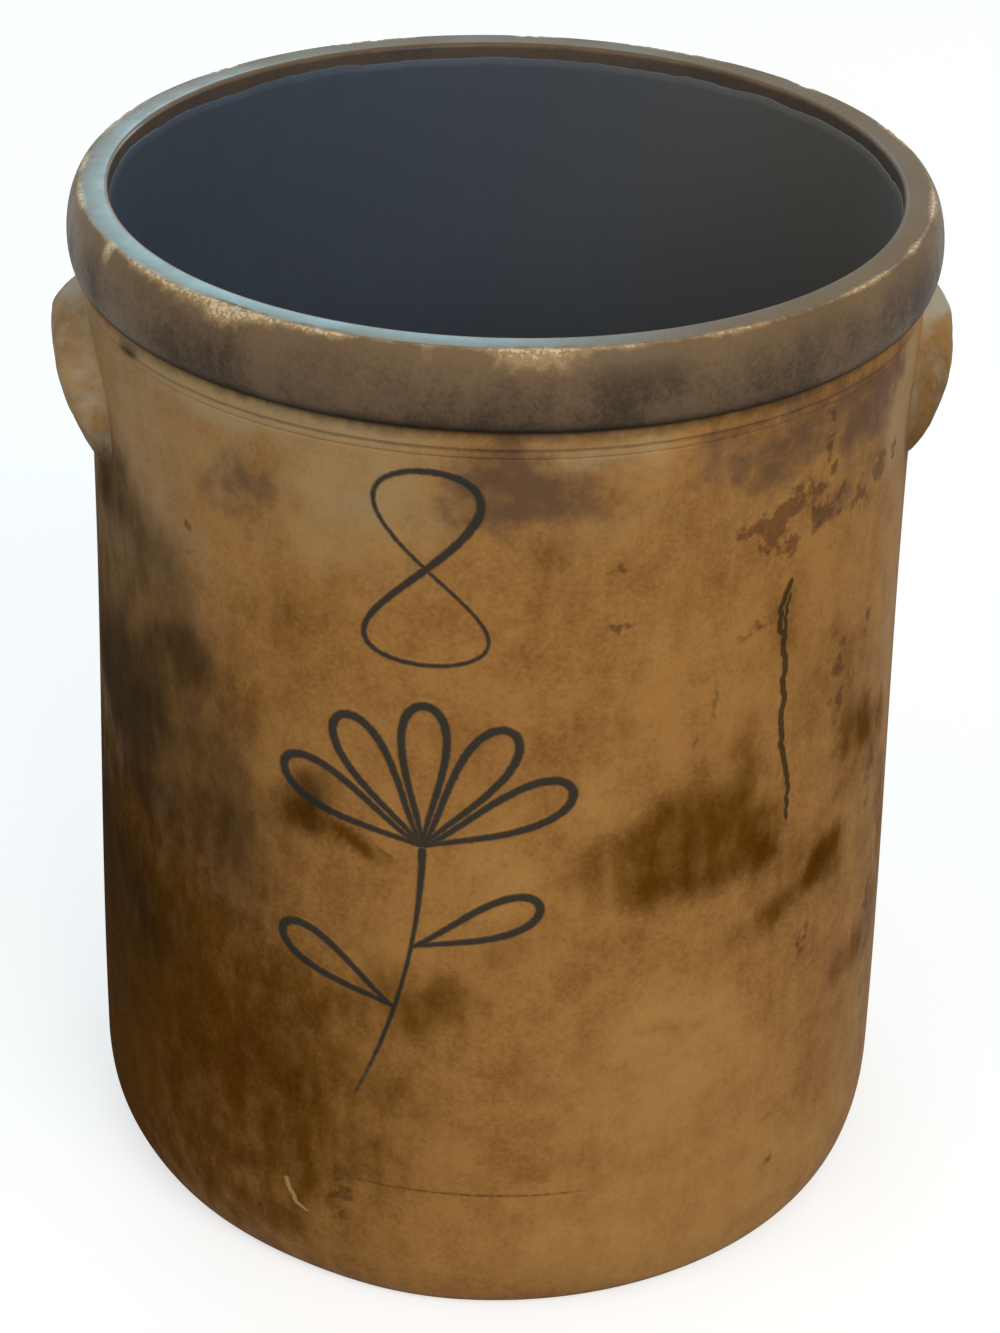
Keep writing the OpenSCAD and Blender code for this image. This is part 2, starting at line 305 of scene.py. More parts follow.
@dataclass(frozen=True)
class KilnMarks:
    """Where flame, ash and iron have coloured the crock, on its front and round its back.
    Some patches are also painted light and shade: painted shade on the lower left, and
    painted light and painted reflection at the top left, under the roll and on the ears.

    A row holds a patch's azimuth, height, half width, half height and strength, and
    where they aren't the usual ones its lean and edge. stray gives the size and the
    reach of each noise that stirs the outlines, in millimetres, and seed keeps that
    noise the same from run to run.
    """

    # The patches at -67 and 271, -72 and 142 and -84 and 110 are painted shade on the lower left as
    # well as soot.
    soot: tuple[Cloud, ...] = rows(
        Cloud,
        (-67, 271, 112, 60, 0.54, -50, 4.0), (-68, 240, 38, 26, 0.28, 0, 2.2),
        (-52, 273, 17, 13, 0.27, 0, 2.0), (-58, 322, 34, 22, 0.12), (-74, 354, 15, 22, -0.50),
        (-60, 146, 24, 24, 0.20), (-41, 184, 16, 26, 0.22), (56, 389, 34, 5, 0.40),
        (73, 347, 12, 20, 0.44), (77, 362, 9, 12, 0.26), (-71, 326, 20, 16, 0.16),
        (-38, 222, 24, 22, 0.22), (-29, 238, 12, 16, 0.50, 14, 1.8), (-72, 142, 56, 44, 0.24),
        (-84, 110, 96, 110, 0.32), (-60, 390, 11, 3, 0.80), (59, 205, 16, 16, 0.14),
        (-15, 335, 7, 8, 0.20), (-98, 350, 14, 30, 0.25), (-75, 317, 14, 8, 0.25),
        (100, 300, 30, 60, 0.40), (150, 300, 46, 36, 0.36, 20), (172, 190, 36, 22, 0.26),
        (205, 260, 70, 30, 0.34), (262, 210, 60, 70, 0.42),
    )
    # The patch at -78 and 84 is painted shade on the lower left as well as amber.
    amber: tuple[Cloud, ...] = rows(
        Cloud,
        (-78, 84, 128, 134, 1.00), (-40, 118, 46, 50, 0.28), (-26, 84, 30, 70, 0.24),
        (-16, 96, 18, 60, 0.18), (-58, 192, 90, 46, 0.18), (14, 199, 11, 8, 0.30),
        (32, 208, 8, 12, 0.20), (31, 250, 10, 12, 0.22), (50, 208, 12, 6, 0.14),
        (-30, 150, 22, 18, 0.16), (-50, 262, 40, 24, 0.26), (-28, 233, 15, 20, 0.60, 14),
        (-41, 274, 10, 14, 0.28), (0, 346, 10, 7, 0.28), (-32, 56, 16, 18, 0.18),
        (-38, 32, 34, 10, 0.14), (-21, 217, 12, 5, 0.60, -35, 2.0), (-33, 313, 20, 14, 0.38),
        (-12, 151, 24, 17, 0.50, 0, 1.8), (-2, 179, 12, 12, 0.34), (12, 182, 16, 9, 0.28),
        (8, 271, 22, 17, 0.26), (-1, 306, 8, 8, 0.30), (0, 335, 10, 8, 0.32),
        (11, 335, 8, 7, 0.28), (22, 214, 42, 22, 0.76, 0, 2.4), (31, 238, 12, 20, 0.36),
        (32, 195, 34, 9, 0.28, 6, 2.0), (41, 200, 14, 12, 0.24), (-31, 226, 12, 10, 0.34),
        (-41, 211, 18, 10, 0.18), (57, 224, 12, 12, 0.30), (38, 284, 22, 22, 0.20),
        (64, 218, 14, 18, 0.34), (40, 177, 18, 11, 0.34), (24, 252, 9, 15, 0.34),
        (36, 304, 10, 14, 0.26), (34, 168, 26, 11, 0.44, 14), (49, 179, 16, 16, 0.70, 0, 2.0),
        (48, 258, 22, 34, 0.38), (54, 229, 17, 16, 0.40, 0, 1.8), (53, 190, 34, 40, 0.22),
        (57, 121, 17, 13, 0.50, 0, 1.8), (70, 160, 20, 50, 0.40), (20, 133, 20, 4, 0.26),
        (118, 110, 60, 44, 0.70), (160, 210, 50, 40, 0.50), (196, 90, 70, 40, 0.60, 0, 2.0),
        (228, 120, 60, 50, 0.50), (258, 70, 70, 80, 0.70), (80, 334, 22, 18, 0.60),
        (-84, 342, 10, 14, 0.50),
    )
    blush: tuple[Cloud, ...] = rows(
        Cloud,
        (-41, 356, 18, 20, 0.66, 0, 1.6), (-52, 300, 18, 30, 0.20),
        (-5, 371, 22, 20, 0.90, 0, 2.0), (5, 366, 18, 18, 0.50), (22, 366, 26, 22, 0.34),
        (58, 380, 18, 14, 0.50), (10, 336, 12, 10, 0.26), (42, 376, 52, 18, 0.68, 0, 2.0),
        (58, 360, 10, 11, 0.36), (50, 372, 24, 14, 0.16), (46, 342, 34, 13, 0.40, 0, 2.0),
        (44, 172, 32, 28, 0.20), (62, 250, 24, 60, 0.14), (-25, 60, 5, 14, 0.45),
        (65, 119, 14, 15, 0.55), (68, 80, 18, 44, 0.36), (88, 330, 40, 40, 0.50),
        (136, 220, 40, 60, 0.50), (190, 352, 60, 26, 0.70, 0, 2.0), (240, 250, 40, 40, 0.50),
        (282, 350, 30, 20, 0.35),
    )
    # The patch at -74 and 362 is painted light under the left ear, lifting its shadow.
    pale: tuple[Cloud, ...] = rows(
        Cloud,
        (-27, 360, 13, 26, 0.70), (-16, 340, 12, 14, 0.40), (-4, 214, 18, 26, 0.75),
        (-8, 300, 18, 24, 0.30), (14, 382, 14, 12, 0.80), (16, 300, 30, 34, 0.35),
        (9, 240, 18, 16, 0.40), (16, 112, 44, 46, 0.80), (34, 100, 50, 40, 0.40),
        (20, 140, 20, 12, 0.30), (62, 310, 18, 60, 0.45), (26, 30, 100, 36, 0.90, 0, 2.0),
        (-74, 362, 26, 16, 0.70), (-48, 389, 26, 5, 0.90), (-79, 346, 6, 24, 1.00, 0, 2.0),
        (110, 360, 40, 30, 0.50), (165, 90, 60, 50, 0.50), (216, 190, 40, 40, 0.40),
        (180, 250, 30, 30, 0.50),
    )
    # Haze is partly painted light: it lightens the top left of the wall and the band under the
    # roll, and the patches at 86 and 381 and at -93 and 381 paint a pale reflection on the ears'
    # crowns.
    haze: tuple[Cloud, ...] = rows(
        Cloud,
        (0, 374, 230, 44, 0.26), (-66, 366, 66, 40, 0.42), (-84, 352, 34, 30, 0.24),
        (-42, 390, 60, 8, 1.00), (-22, 368, 34, 36, 0.44), (-62, 308, 56, 34, 0.45),
        (9, 387, 26, 6, 0.55), (66, 366, 22, 30, 0.60), (68, 260, 16, 90, 0.40),
        (66, 60, 26, 60, 0.26), (86, 381, 24, 8, 1.40), (78, 360, 14, 24, 0.34),
        (-81, 387, 12, 9, 0.60), (-93, 381, 16, 9, 1.40), (150, 386, 60, 12, 0.50),
        (216, 384, 70, 10, 0.50),
    )
    iron: tuple[Cloud, ...] = rows(
        Cloud,
        (30, 345, 12, 6, 0.95), (36, 350, 13, 7, 0.85), (34, 332, 12, 5, 0.90),
        (40, 338, 5, 5, 0.80), (44.5, 344, 9, 9, 0.75), (54, 344, 15, 10, 0.66),
        (61, 347, 13, 5, 0.80), (42, 366, 5, 14, 0.60), (10.5, 314, 6, 2.6, 1.20),
        (9.5, 333, 7, 4, 0.70), (31, 301, 6, 4, 0.80), (44, 148, 10, 10, 0.65),
        (63, 138, 8, 10, 1.10), (48, 262, 5, 24, 0.62), (55, 280, 4, 14, 0.55),
        (-29, 218, 8, 8, 0.50), (-50, 322, 4, 14, 0.55), (-61, 379, 7, 3, 0.80),
        (-24, 50, 4, 12, 0.60), (39, 48, 3, 3, 1.00), (62, 205, 5, 22, 0.60),
        (80, 350, 6, 8, 1.00), (77, 335, 5, 5, 0.95), (-81, 348, 4, 6, 0.80),
        (128, 312, 30, 12, 0.80), (204, 150, 24, 12, 0.80), (244, 344, 24, 10, 0.80),
    )

    stray: tuple[tuple[float, float], ...] = ((42, 9), (14, 4))
    seed: int = 4

    def layers(self) -> dict[Layer, tuple[Cloud, ...]]:
        """The patches under the layer that each one colours."""
        return {layer: getattr(self, layer.value) for layer in KILN_LAYERS}

    def paint(self, mesh: bpy.types.Mesh, shape: Shape) -> None:
        """Writes the kiln layers on to a mesh.

        Args:
            mesh: Mesh of a piece that lies on or near the wall.
            shape: The crock's sizes.
        """
        points = points_of(mesh)
        stirred = points + self._stir(points)
        azimuth = azimuth_of(stirred)
        for layer, clouds in self.layers().items():
            total = np.zeros(len(points))
            for cloud in clouds:
                total += cloud.amount(azimuth, stirred[:, 2], shape.neck_r)
            write_layer(mesh, layer, np.clip(total, 0, 1.3))

    def _stir(self, points: np.ndarray) -> np.ndarray:
        """How far the patches' outlines stray at each point, so that none stays an oval.

        Args:
            points: Points on the wall.

        Returns:
            One offset a point.
        """
        noise.seed_set(self.seed)
        total = np.zeros(points.shape)
        for size, reach in self.stray:
            for row, point in enumerate(points):
                total[row] += Vector(noise.noise_vector(Vector(point) / (size * MM))) * reach * MM
        return total


def points_of(mesh: bpy.types.Mesh) -> np.ndarray:
    """A mesh's vertices as rows of x, y and z.

    Args:
        mesh: Any mesh.

    Returns:
        One row a vertex.
    """
    flat = np.zeros(len(mesh.vertices) * 3, np.float32)
    mesh.vertices.foreach_get("co", flat)
    return flat.reshape(-1, 3).astype(float)


def azimuth_of(points: np.ndarray) -> np.ndarray:
    """Azimuths of points in degrees, from the middle of the front towards the right ear."""
    return np.degrees(np.arctan2(points[:, 0], -points[:, 1]))


def write_layer(mesh: bpy.types.Mesh, layer: Layer, values: np.ndarray) -> None:
    """Stores one painted layer on a mesh.

    Args:
        mesh: Mesh that takes the layer.
        layer: Which layer it is.
        values: One number a vertex.
    """
    attribute = mesh.attributes.new(layer.value, "FLOAT", "POINT")
    attribute.data.foreach_set("value", np.asarray(values, np.float32))


def azimuth_at(point: Vector) -> float:
    """Azimuth of one point in degrees."""
    return math.degrees(math.atan2(point.x, -point.y))


def around(radius: float, azimuth: float, z: float) -> Vector:
    """A point by its radius, its azimuth in degrees and its height."""
    turn = math.radians(azimuth)
    return Vector((radius * math.sin(turn), -radius * math.cos(turn), z))


def turn_on_wheel(profile: Sequence[tuple[float, float]], steps: int) -> bmesh.types.BMesh:
    """Spins a closed profile once round the crock's axis.

    A wedge is spun first and then repeated, which is far quicker than one long spin.

    Args:
        profile: Radius and height of each point, in order round the section.
        steps: How many steps the full turn has, a multiple of the wedges.

    Returns:
        A closed mesh whose faces point outwards.
    """
    bm = bmesh.new()
    ring = [bm.verts.new((radius, 0, z)) for radius, z in profile]
    edges = [bm.edges.new(pair) for pair in zip(ring, ring[1:] + ring[:1])]
    turn = {"cent": (0, 0, 0), "axis": (0, 0, 1)}
    wedge = FULL_TURN / WEDGES
    bmesh.ops.spin(bm, geom=ring + edges, angle=wedge, steps=steps // WEDGES, **turn)
    first = bm.verts[:] + bm.edges[:] + bm.faces[:]
    rest = WEDGES - 1
    bmesh.ops.spin(bm, geom=first, angle=wedge * rest, steps=rest, use_duplicate=True, **turn)
    bmesh.ops.remove_doubles(bm, verts=bm.verts, dist=0.01 * MM)
    bmesh.ops.recalc_face_normals(bm, faces=bm.faces)
    return bm


def link_object(name: str, data: bpy.types.ID) -> bpy.types.Object:
    """Puts a mesh, lamp or camera into the scene as an object."""
    made = bpy.data.objects.new(name, data)
    bpy.context.scene.collection.objects.link(made)
    return made


def finish_mesh(bm: bmesh.types.BMesh, name: str) -> bpy.types.Object:
    """Turns a bmesh into a smooth shaded object at the origin.

    Args:
        bm: The built shape, which is freed.
        name: Name of the new piece.

    Returns:
        The new object.
    """
    mesh = bpy.data.meshes.new(name)
    bm.to_mesh(mesh)
    bm.free()
    mesh.shade_smooth()
    return link_object(name, mesh)


def arc(steps: int, start: float, end: float) -> list[float]:
    """Angles in radians from start to end, both given in degrees."""
    return [math.radians(start + (end - start) * i / steps) for i in range(steps + 1)]


def spread(start: float, end: float, count: int) -> list[float]:
    """Evenly spaced values from start to end, both included."""
    return [start + (end - start) * i / count for i in range(count + 1)]


class NodeSheet:
    """Adds nodes to one tree and joins them, column by column."""

    def __init__(self, tree: bpy.types.NodeTree) -> None:
        """Takes the tree that is to be filled."""
        self.tree = tree
        self.count = 0

    def add(self, kind: str, **settings: object) -> bpy.types.Node:
        """Adds one node.

        Args:
            kind: The node's type, without its ShaderNode prefix.
            **settings: Properties to set on it.

        Returns:
            The new node.
        """
        node = self.tree.nodes.new("ShaderNode" + kind)
        node.location = (200 * (self.count // 6), -220 * (self.count % 6))
        self.count += 1
        for name, value in settings.items():
            setattr(node, name, value)
        return node

    def feed(self, target: Socket, value: object) -> None:
        """Links a socket to an input, or sets the input to a plain value or a hex colour."""
        if isinstance(value, bpy.types.NodeSocket):
            self.tree.links.new(value, target)
        else:
            target.default_value = hex_colour(value) if isinstance(value, str) else value

    def layer(self, layer: Layer) -> Socket:
        """Reads a painted layer."""
        return self.add("Attribute", attribute_name=layer.value).outputs["Fac"]

    def places(self) -> Socket:
        """The object's own coordinates, in metres."""
        return self.add("TexCoord").outputs["Object"]

    def scaled(self, vector: Socket, scale: tuple[float, float, float]) -> Socket:
        """Stretches coordinates by a factor for each axis."""
        node = self.add("VectorMath", operation="MULTIPLY")
        self.feed(node.inputs[0], vector)
        self.feed(node.inputs[1], scale)
        return node.outputs[0]

    def shifted(self, vector: Socket, offset: tuple[float, float, float]) -> Socket:
        """Moves coordinates, so that two patterns don't fall together."""
        node = self.add("VectorMath", operation="ADD")
        self.feed(node.inputs[0], vector)
        self.feed(node.inputs[1], offset)
        return node.outputs[0]

    def noise(
        self, vector: Socket, scale: Value, detail: float = 3.0, roughness: float = 0.55,
        distortion: float = 0.0,
    ) -> Socket:
        """A noise pattern.

        Args:
            vector: Coordinates that it is read at.
            scale: Features a metre.
            detail: Octaves of finer noise.
            roughness: Strength of the finer octaves.
            distortion: How far the pattern is stirred.

        Returns:
            The pattern's value, from 0 to 1 and mostly near the middle.
        """
        node = self.add("TexNoise")
        self.feed(node.inputs["Vector"], vector)
        self.feed(node.inputs["Scale"], scale)
        node.inputs["Detail"].default_value = detail
        node.inputs["Roughness"].default_value = roughness
        node.inputs["Distortion"].default_value = distortion
        return node.outputs["Fac"]

    def cells(self, vector: Socket, scale: Value, feature: str = "SMOOTH_F1") -> Socket:
        """Distance from the nearest of many scattered points, smooth between them or not."""
        node = self.add("TexVoronoi", feature=feature)
        self.feed(node.inputs["Vector"], vector)
        self.feed(node.inputs["Scale"], scale)
        return node.outputs["Distance"]

    def sum(self, a: Value, b: Value) -> Socket:
        """Adds two values."""
        return self.math("ADD", a, b)

    def product(self, a: Value, b: Value) -> Socket:
        """Multiplies two values."""
        return self.math("MULTIPLY", a, b)

    def math(self, operation: str, a: Value, b: Value) -> Socket:
        """One step of arithmetic.

        Args:
            operation: Blender's name of the operation.
            a: First value.
            b: Second value.

        Returns:
            The result.
        """
        node = self.add("Math", operation=operation)
        self.feed(node.inputs[0], a)
        self.feed(node.inputs[1], b)
        return node.outputs[0]

    def remap(
        self, value: Socket, low: Value, high: Value, to_low: Value = 0.0, to_high: Value = 1.0
    ) -> Socket:
        """Carries a value from one range to another with soft ends.

        Args:
            value: What is carried.
            low: Start of its range.
            high: End of its range.
            to_low: What the start becomes.
            to_high: What the end becomes.

        Returns:
            The carried value.
        """
        node = self.add("MapRange", interpolation_type="SMOOTHSTEP")
        for name, given in zip(
            ("Value", "From Min", "From Max", "To Min", "To Max"),
            (value, low, high, to_low, to_high),
        ):
            self.feed(node.inputs[name], given)
        return node.outputs["Result"]

    def blend(self, share: Value, a: object, b: object, kind: str = "MIX") -> Socket:
        """Mixes two colours.

        Args:
            share: How much of the second colour shows.
            a: First colour.
            b: Second colour.
            kind: Blender's name of the blend.

        Returns:
            The mixed colour.
        """
        node = self.add("Mix", data_type="RGBA", blend_type=kind)
        by_id = {socket.identifier: socket for socket in node.inputs}
        self.feed(by_id["Factor_Float"], share)
        self.feed(by_id["A_Color"], a)
        self.feed(by_id["B_Color"], b)
        return next(s for s in node.outputs if s.identifier == "Result_Color")

    def tint(
        self, mask: Value, strength: float, base: object, over: object, kind: str = "MIX"
    ) -> Socket:
        """Lays one colour over another where a mask shows, at a given strength."""
        return self.blend(self.product(mask, strength), base, over, kind)

    def weigh(self, node: bpy.types.Node, **shares: float) -> Socket:
        """Adds up a node's outputs, each by its share.

        Args:
            node: Node that puts the values out.
            **shares: Share of each output, under its name.

        Returns:
            The sum.
        """
        parts = [self.product(node.outputs[name], share) for name, share in shares.items()]
        total = parts[0]
        for part in parts[1:]:
            total = self.sum(total, part)
        return total

    def group(self, tree: bpy.types.NodeTree, **given: object) -> bpy.types.Node:
        """Places a node group and fills its inputs by their names in small letters."""
        node = self.add("Group", node_tree=tree)
        for name, value in given.items():
            self.feed(node.inputs[name.capitalize()], value)
        return node


@dataclass(frozen=True)
class KilnTone:
    """What one painted kiln layer does to the glaze under it.

    scale, breakup, low and high are the settings of GlazeGroups.patch, and kind is
    Blender's name of the blend.
    """

    layer: Layer
    colour: str
    strength: float
    reading: Reading
    scale: float
    breakup: float
    low: float
    high: float
    kind: str = "MIX"


# In the order in which they are laid over one another.
KILN_TONES = rows(
    KilnTone,
    (Layer.PALE, "#b88c50", 0.55, Reading.PLAIN, 55, 0.5, 0.05, 1.2),
    (Layer.HAZE, "#a48e68", 0.75, Reading.APART, 70, 0.28, 0.0, 1.1),
    (Layer.BLUSH, "#5a4231", 0.85, Reading.PLAIN, 85, 0.55, 0.05, 1.1),
    (Layer.SOOT, "#45341f", 1.0, Reading.STREAKED, 110, 0.15, 0.0, 1.0),
    (Layer.AMBER, "#9a8a4a", 1.0, Reading.STREAKED, 95, 0.30, 0.0, 1.0, "MULTIPLY"),
    (Layer.IRON, "#462615", 0.6, Reading.APART, 130, 1.1, 0.42, 0.9),
)


class GroupBuilder:
    """A node group with named inputs and outputs, built once and used by name."""

    def __init__(self, name: str) -> None:
        """Starts an empty group."""
        self.tree = bpy.data.node_groups.new(name, "ShaderNodeTree")
        self.sheet = NodeSheet(self.tree)
        self.inlet = self.tree.nodes.new("NodeGroupInput")
        self.outlet = self.tree.nodes.new("NodeGroupOutput")
        self.inlet.location = (-300, 0)
        self.outlet.location = (2600, 0)

    def take(self, name: str, kind: str = "Float", default: object = 0.0) -> Socket:
        """Adds an input.

        Args:
            name: Its name.
            kind: Float, Color or Vector.
            default: Its value where nothing feeds it, not used for a vector.

        Returns:
            The socket inside the group.
        """
        made = self.tree.interface.new_socket(name, in_out="INPUT", socket_type="NodeSocket" + kind)
        if kind != "Vector":
            made.default_value = default
        return self.inlet.outputs[name]

    def give(self, name: str, value: Socket, kind: str = "Float") -> None:
        """Adds an output and feeds it."""
        self.tree.interface.new_socket(name, in_out="OUTPUT", socket_type="NodeSocket" + kind)
        self.tree.links.new(value, self.outlet.inputs[name])


@dataclass
class GlazeGroups:
    """The node groups that the crock's finishes share."""

    mottle: bpy.types.NodeTree = field(init=False)
    kiln: bpy.types.NodeTree = field(init=False)
    peel: bpy.types.NodeTree = field(init=False)
    ragged: bpy.types.NodeTree = field(init=False)
    ground: bpy.types.NodeTree = field(init=False)

    def __post_init__(self) -> None:
        """Builds the groups, the simple ones first."""
        self.ragged = self._ragged_edge()
        self.mottle = self._mottle()
        self.peel = self._orange_peel()
        self.kiln = self._kiln_colour()
        self.ground = self._glazed_ground()

    def _ragged_edge(self) -> bpy.types.NodeTree:
        """A painted layer whose edge is broken up by noise."""
        group = GroupBuilder("Ragged patch")
        sheet = group.sheet
        places = group.take("Places", "Vector")
        layer = group.take("Layer")
        scale = group.take("Scale", default=60.0)
        breakup = group.take("Breakup", default=0.5)
        low = group.take("Low", default=0.2)
        high = group.take("High", default=0.8)
        grain = sheet.noise(places, scale, detail=5, roughness=0.6)
        stirred = sheet.product(sheet.remap(grain, 0.3, 0.7, -0.5, 0.5), breakup)
        held = sheet.remap(layer, 0.02, 0.3)
        group.give("Mask", sheet.remap(sheet.sum(layer, sheet.product(stirred, held)), low, high))
        return group.tree

    def _mottle(self) -> bpy.types.NodeTree:
        """Uneven glaze: broad drifts, small flecks and faint runs down the wall."""
        group = GroupBuilder("Glaze mottle")
        sheet = group.sheet
        places = group.take("Places", "Vector")
        broad = sheet.noise(places, 13, detail=3, roughness=0.5, distortion=0.4)
        small = sheet.noise(sheet.shifted(places, (3, 1, 2)), 60, detail=7, roughness=0.72)
        runs = sheet.noise(sheet.scaled(places, (120, 120, 7)), 1, detail=4, roughness=0.6)
        fleck = sheet.noise(sheet.shifted(places, (5, 7, 4)), 300, detail=4, roughness=0.7)
        grain = sheet.noise(sheet.shifted(places, (8, 2, 6)), 560, detail=2, roughness=0.6)
        group.give("Drift", sheet.remap(broad, 0.25, 0.75))
        group.give("Small", sheet.remap(small, 0.28, 0.72))
        group.give("Runs", sheet.remap(runs, 0.28, 0.72))
        group.give("Fleck", sheet.remap(fleck, 0.58, 0.74))
        group.give("Grain", sheet.remap(grain, 0.25, 0.75))
        return group.tree

    def _orange_peel(self) -> bpy.types.NodeTree:
        """Relief of a salt glaze over thrown clay, as a height in metres."""
        group = GroupBuilder("Salt glaze relief")
        sheet = group.sheet
        places = group.take("Places", "Vector")
        peel = group.take("Peel", default=0.03)
        ripple = group.take("Ripple", default=0.08)
        pits = sheet.cells(places, 620)
        grain = sheet.noise(places, 1500, detail=3)
        rings = sheet.noise(sheet.scaled(places, (5, 5, 95)), 1, detail=3, roughness=0.5)
        dents = sheet.noise(sheet.shifted(places, (2, 9, 4)), 34, detail=3)
        fine = sheet.sum(sheet.product(pits, 0.7), sheet.product(grain, 0.5))
        wide = sheet.sum(rings, sheet.product(dents, 1.3))
        height = sheet.sum(sheet.product(fine, peel), sheet.product(wide, ripple))
        group.give("Height", sheet.product(height, MM))
        return group.tree

    def _kiln_colour(self) -> bpy.types.NodeTree:
        """Colours a glaze by its painted kiln layers, painted light and shade among them."""
        group = GroupBuilder("Kiln colour")
        sheet = group.sheet
        places = group.take("Places", "Vector")
        colour = group.take("Colour", "Color", (0.5, 0.3, 0.1, 1))
        layers = {layer: group.take(layer.value.capitalize()) for layer in KILN_LAYERS}
        readings = {
            Reading.PLAIN: places,
            Reading.APART: sheet.shifted(places, (4, 4, 1)),
            Reading.STREAKED: sheet.scaled(places, (1, 1, 0.55)),
        }
        masks = {}
        for tone in KILN_TONES:
            settings = tone.scale, tone.breakup, tone.low, tone.high
            mask = self.patch(sheet, readings[tone.reading], layers[tone.layer], *settings)
            colour = sheet.tint(mask, tone.strength, colour, tone.colour, tone.kind)
            masks[tone.layer] = mask
        group.give("Colour", colour, "Color")
        # The glaze is less glossy under soot and amber, which hold painted shade too.
        group.give("Smoke_and_shade", sheet.math("MAXIMUM", masks[Layer.SOOT], masks[Layer.AMBER]))
        return group.tree

    def patch(
        self, sheet: NodeSheet, places: Socket, layer: Socket, scale: float, breakup: float,
        low: float, high: float,
    ) -> Socket:
        """Breaks up the edge of a painted layer with noise.

        Args:
            sheet: Sheet that takes the node.
            places: Coordinates that the noise is read at.
            layer: The layer's value.
            scale: Features a metre in the noise.
            breakup: How far the noise moves the edge.
            low: Where the mask starts.
            high: Where it is full.

        Returns:
            The mask, from 0 to 1.
        """
        given = {"places": places, "layer": layer, "scale": scale, "breakup": breakup}
        return sheet.group(self.ragged, low=low, high=high, **given).outputs["Mask"]

    def _glazed_ground(self) -> bpy.types.NodeTree:
        """The whole colour of the glazed wall, which marks on it fade into."""
        group = GroupBuilder("Glazed ground")
        sheet = group.sheet
        places = group.take("Places", "Vector")
        light = group.take("Light", "Color", (0.5, 0.3, 0.1, 1))
        deep = group.take("Deep", "Color", (0.3, 0.2, 0.05, 1))
        given = {layer.value: group.take(layer.value.capitalize()) for layer in KILN_LAYERS}
        mottle = sheet.group(self.mottle, places=places)
        tone = sheet.weigh(mottle, Drift=0.26, Small=0.36, Runs=0.12, Grain=0.26)
        ground = sheet.blend(sheet.remap(tone, 0.2, 0.9), light, deep)
        kiln = sheet.group(self.kiln, places=places, colour=ground, **given)
        flecked = sheet.tint(mottle.outputs["Fleck"], 0.30, kiln.outputs["Colour"], "#5a3d20")
        group.give("Colour", flecked, "Color")
        group.give("Smoke_and_shade", kiln.outputs["Smoke_and_shade"])
        group.give("Tone", tone)
        return group.tree


class Finish:
    """A material with its own sheet of nodes and one principled shader."""

    def __init__(self, name: str, groups: GlazeGroups, **constants: float) -> None:
        """Starts a material.

        Args:
            name: Its name.
            groups: The node groups that the finishes share.
            **constants: Plain values of the shader's sockets, spaces written as underscores.
        """
        self.groups = groups
        self.material = bpy.data.materials.new(name)
        self.material.use_nodes = True
        tree = self.material.node_tree
        tree.nodes.clear()
        self.sheet = NodeSheet(tree)
        self.shader = self.sheet.add("BsdfPrincipled")
        output = self.sheet.add("OutputMaterial")
        tree.links.new(self.shader.outputs["BSDF"], output.inputs["Surface"])
        for socket, value in constants.items():
            self.shader.inputs[socket.replace("_", " ")].default_value = value

    @cached_property
    def places(self) -> Socket:
        """The object's own coordinates, from one node that is added when it's first used."""
        return self.sheet.places()

    def colour(self, value: object) -> None:
        """Sets what the surface's colour comes from."""
        self.sheet.feed(self.shader.inputs["Base Color"], value)

    def roughness(self, value: object) -> None:
        """Sets what the surface's roughness comes from."""
        self.sheet.feed(self.shader.inputs["Roughness"], value)

    def sheen(self, value: object) -> None:
        """Sets how much of the clear, glossy skin the surface has."""
        self.sheet.feed(self.shader.inputs["Coat Weight"], value)

    def mottle(self) -> bpy.types.Node:
        """The uneven glaze, read at the object's own coordinates."""
        return self.sheet.group(self.groups.mottle, places=self.places)

    def mask(self, layer: Layer, *settings: float) -> Socket:
        """A painted layer with a broken edge, by GlazeGroups.patch's last four settings."""
        return self.groups.patch(self.sheet, self.places, self.sheet.layer(layer), *settings)

    def skin(self, peel: float, ripple: float) -> Socket:
        """Height of the salt glaze's skin, from its orange peel and its throwing rings."""
        node = self.sheet.group(self.groups.peel, places=self.places, peel=peel, ripple=ripple)
        return node.outputs["Height"]

    def relief(self, height: Socket) -> None:
        """Bumps the surface by a height in metres."""
        bump = self.sheet.add("Bump")
        bump.inputs["Strength"].default_value = 1.0
        bump.inputs["Distance"].default_value = 1.0
        self.sheet.feed(bump.inputs["Height"], height)
        self.sheet.feed(self.shader.inputs["Normal"], bump.outputs["Normal"])


@dataclass(frozen=True)
class WallGround:
    """The wall's own glaze, which the ears and the marks on the wall start from too."""

    light: str = "#a4763e"
    deep: str = "#85592a"
    clear_gloss: float = 0.13
    smoked_shaded_gloss: float = 0.02

    def start(self, name: str, groups: GlazeGroups) -> tuple[Finish, Socket, Socket]:
        """Starts a finish on this ground.

        Args:
            name: The material's name.
            groups: The shared node groups.

        Returns:
            The finish, its colour so far, and its gloss, which isn't set yet.
        """
        finish = Finish(name, groups, Specular_IOR_Level=0.0, Coat_Roughness=0.3)
        sheet = finish.sheet
        layers = {layer.value: sheet.layer(layer) for layer in KILN_LAYERS}
        ground = sheet.group(
            groups.ground, places=finish.places, light=self.light, deep=self.deep, **layers
        )
        finish.roughness(sheet.remap(ground.outputs["Tone"], 0.1, 0.9, 0.6, 0.8))
        gloss = sheet.remap(ground.outputs["Smoke_and_shade"], 0.0, 1.0, self.clear_gloss, self.smoked_shaded_gloss)
        return finish, ground.outputs["Colour"], gloss


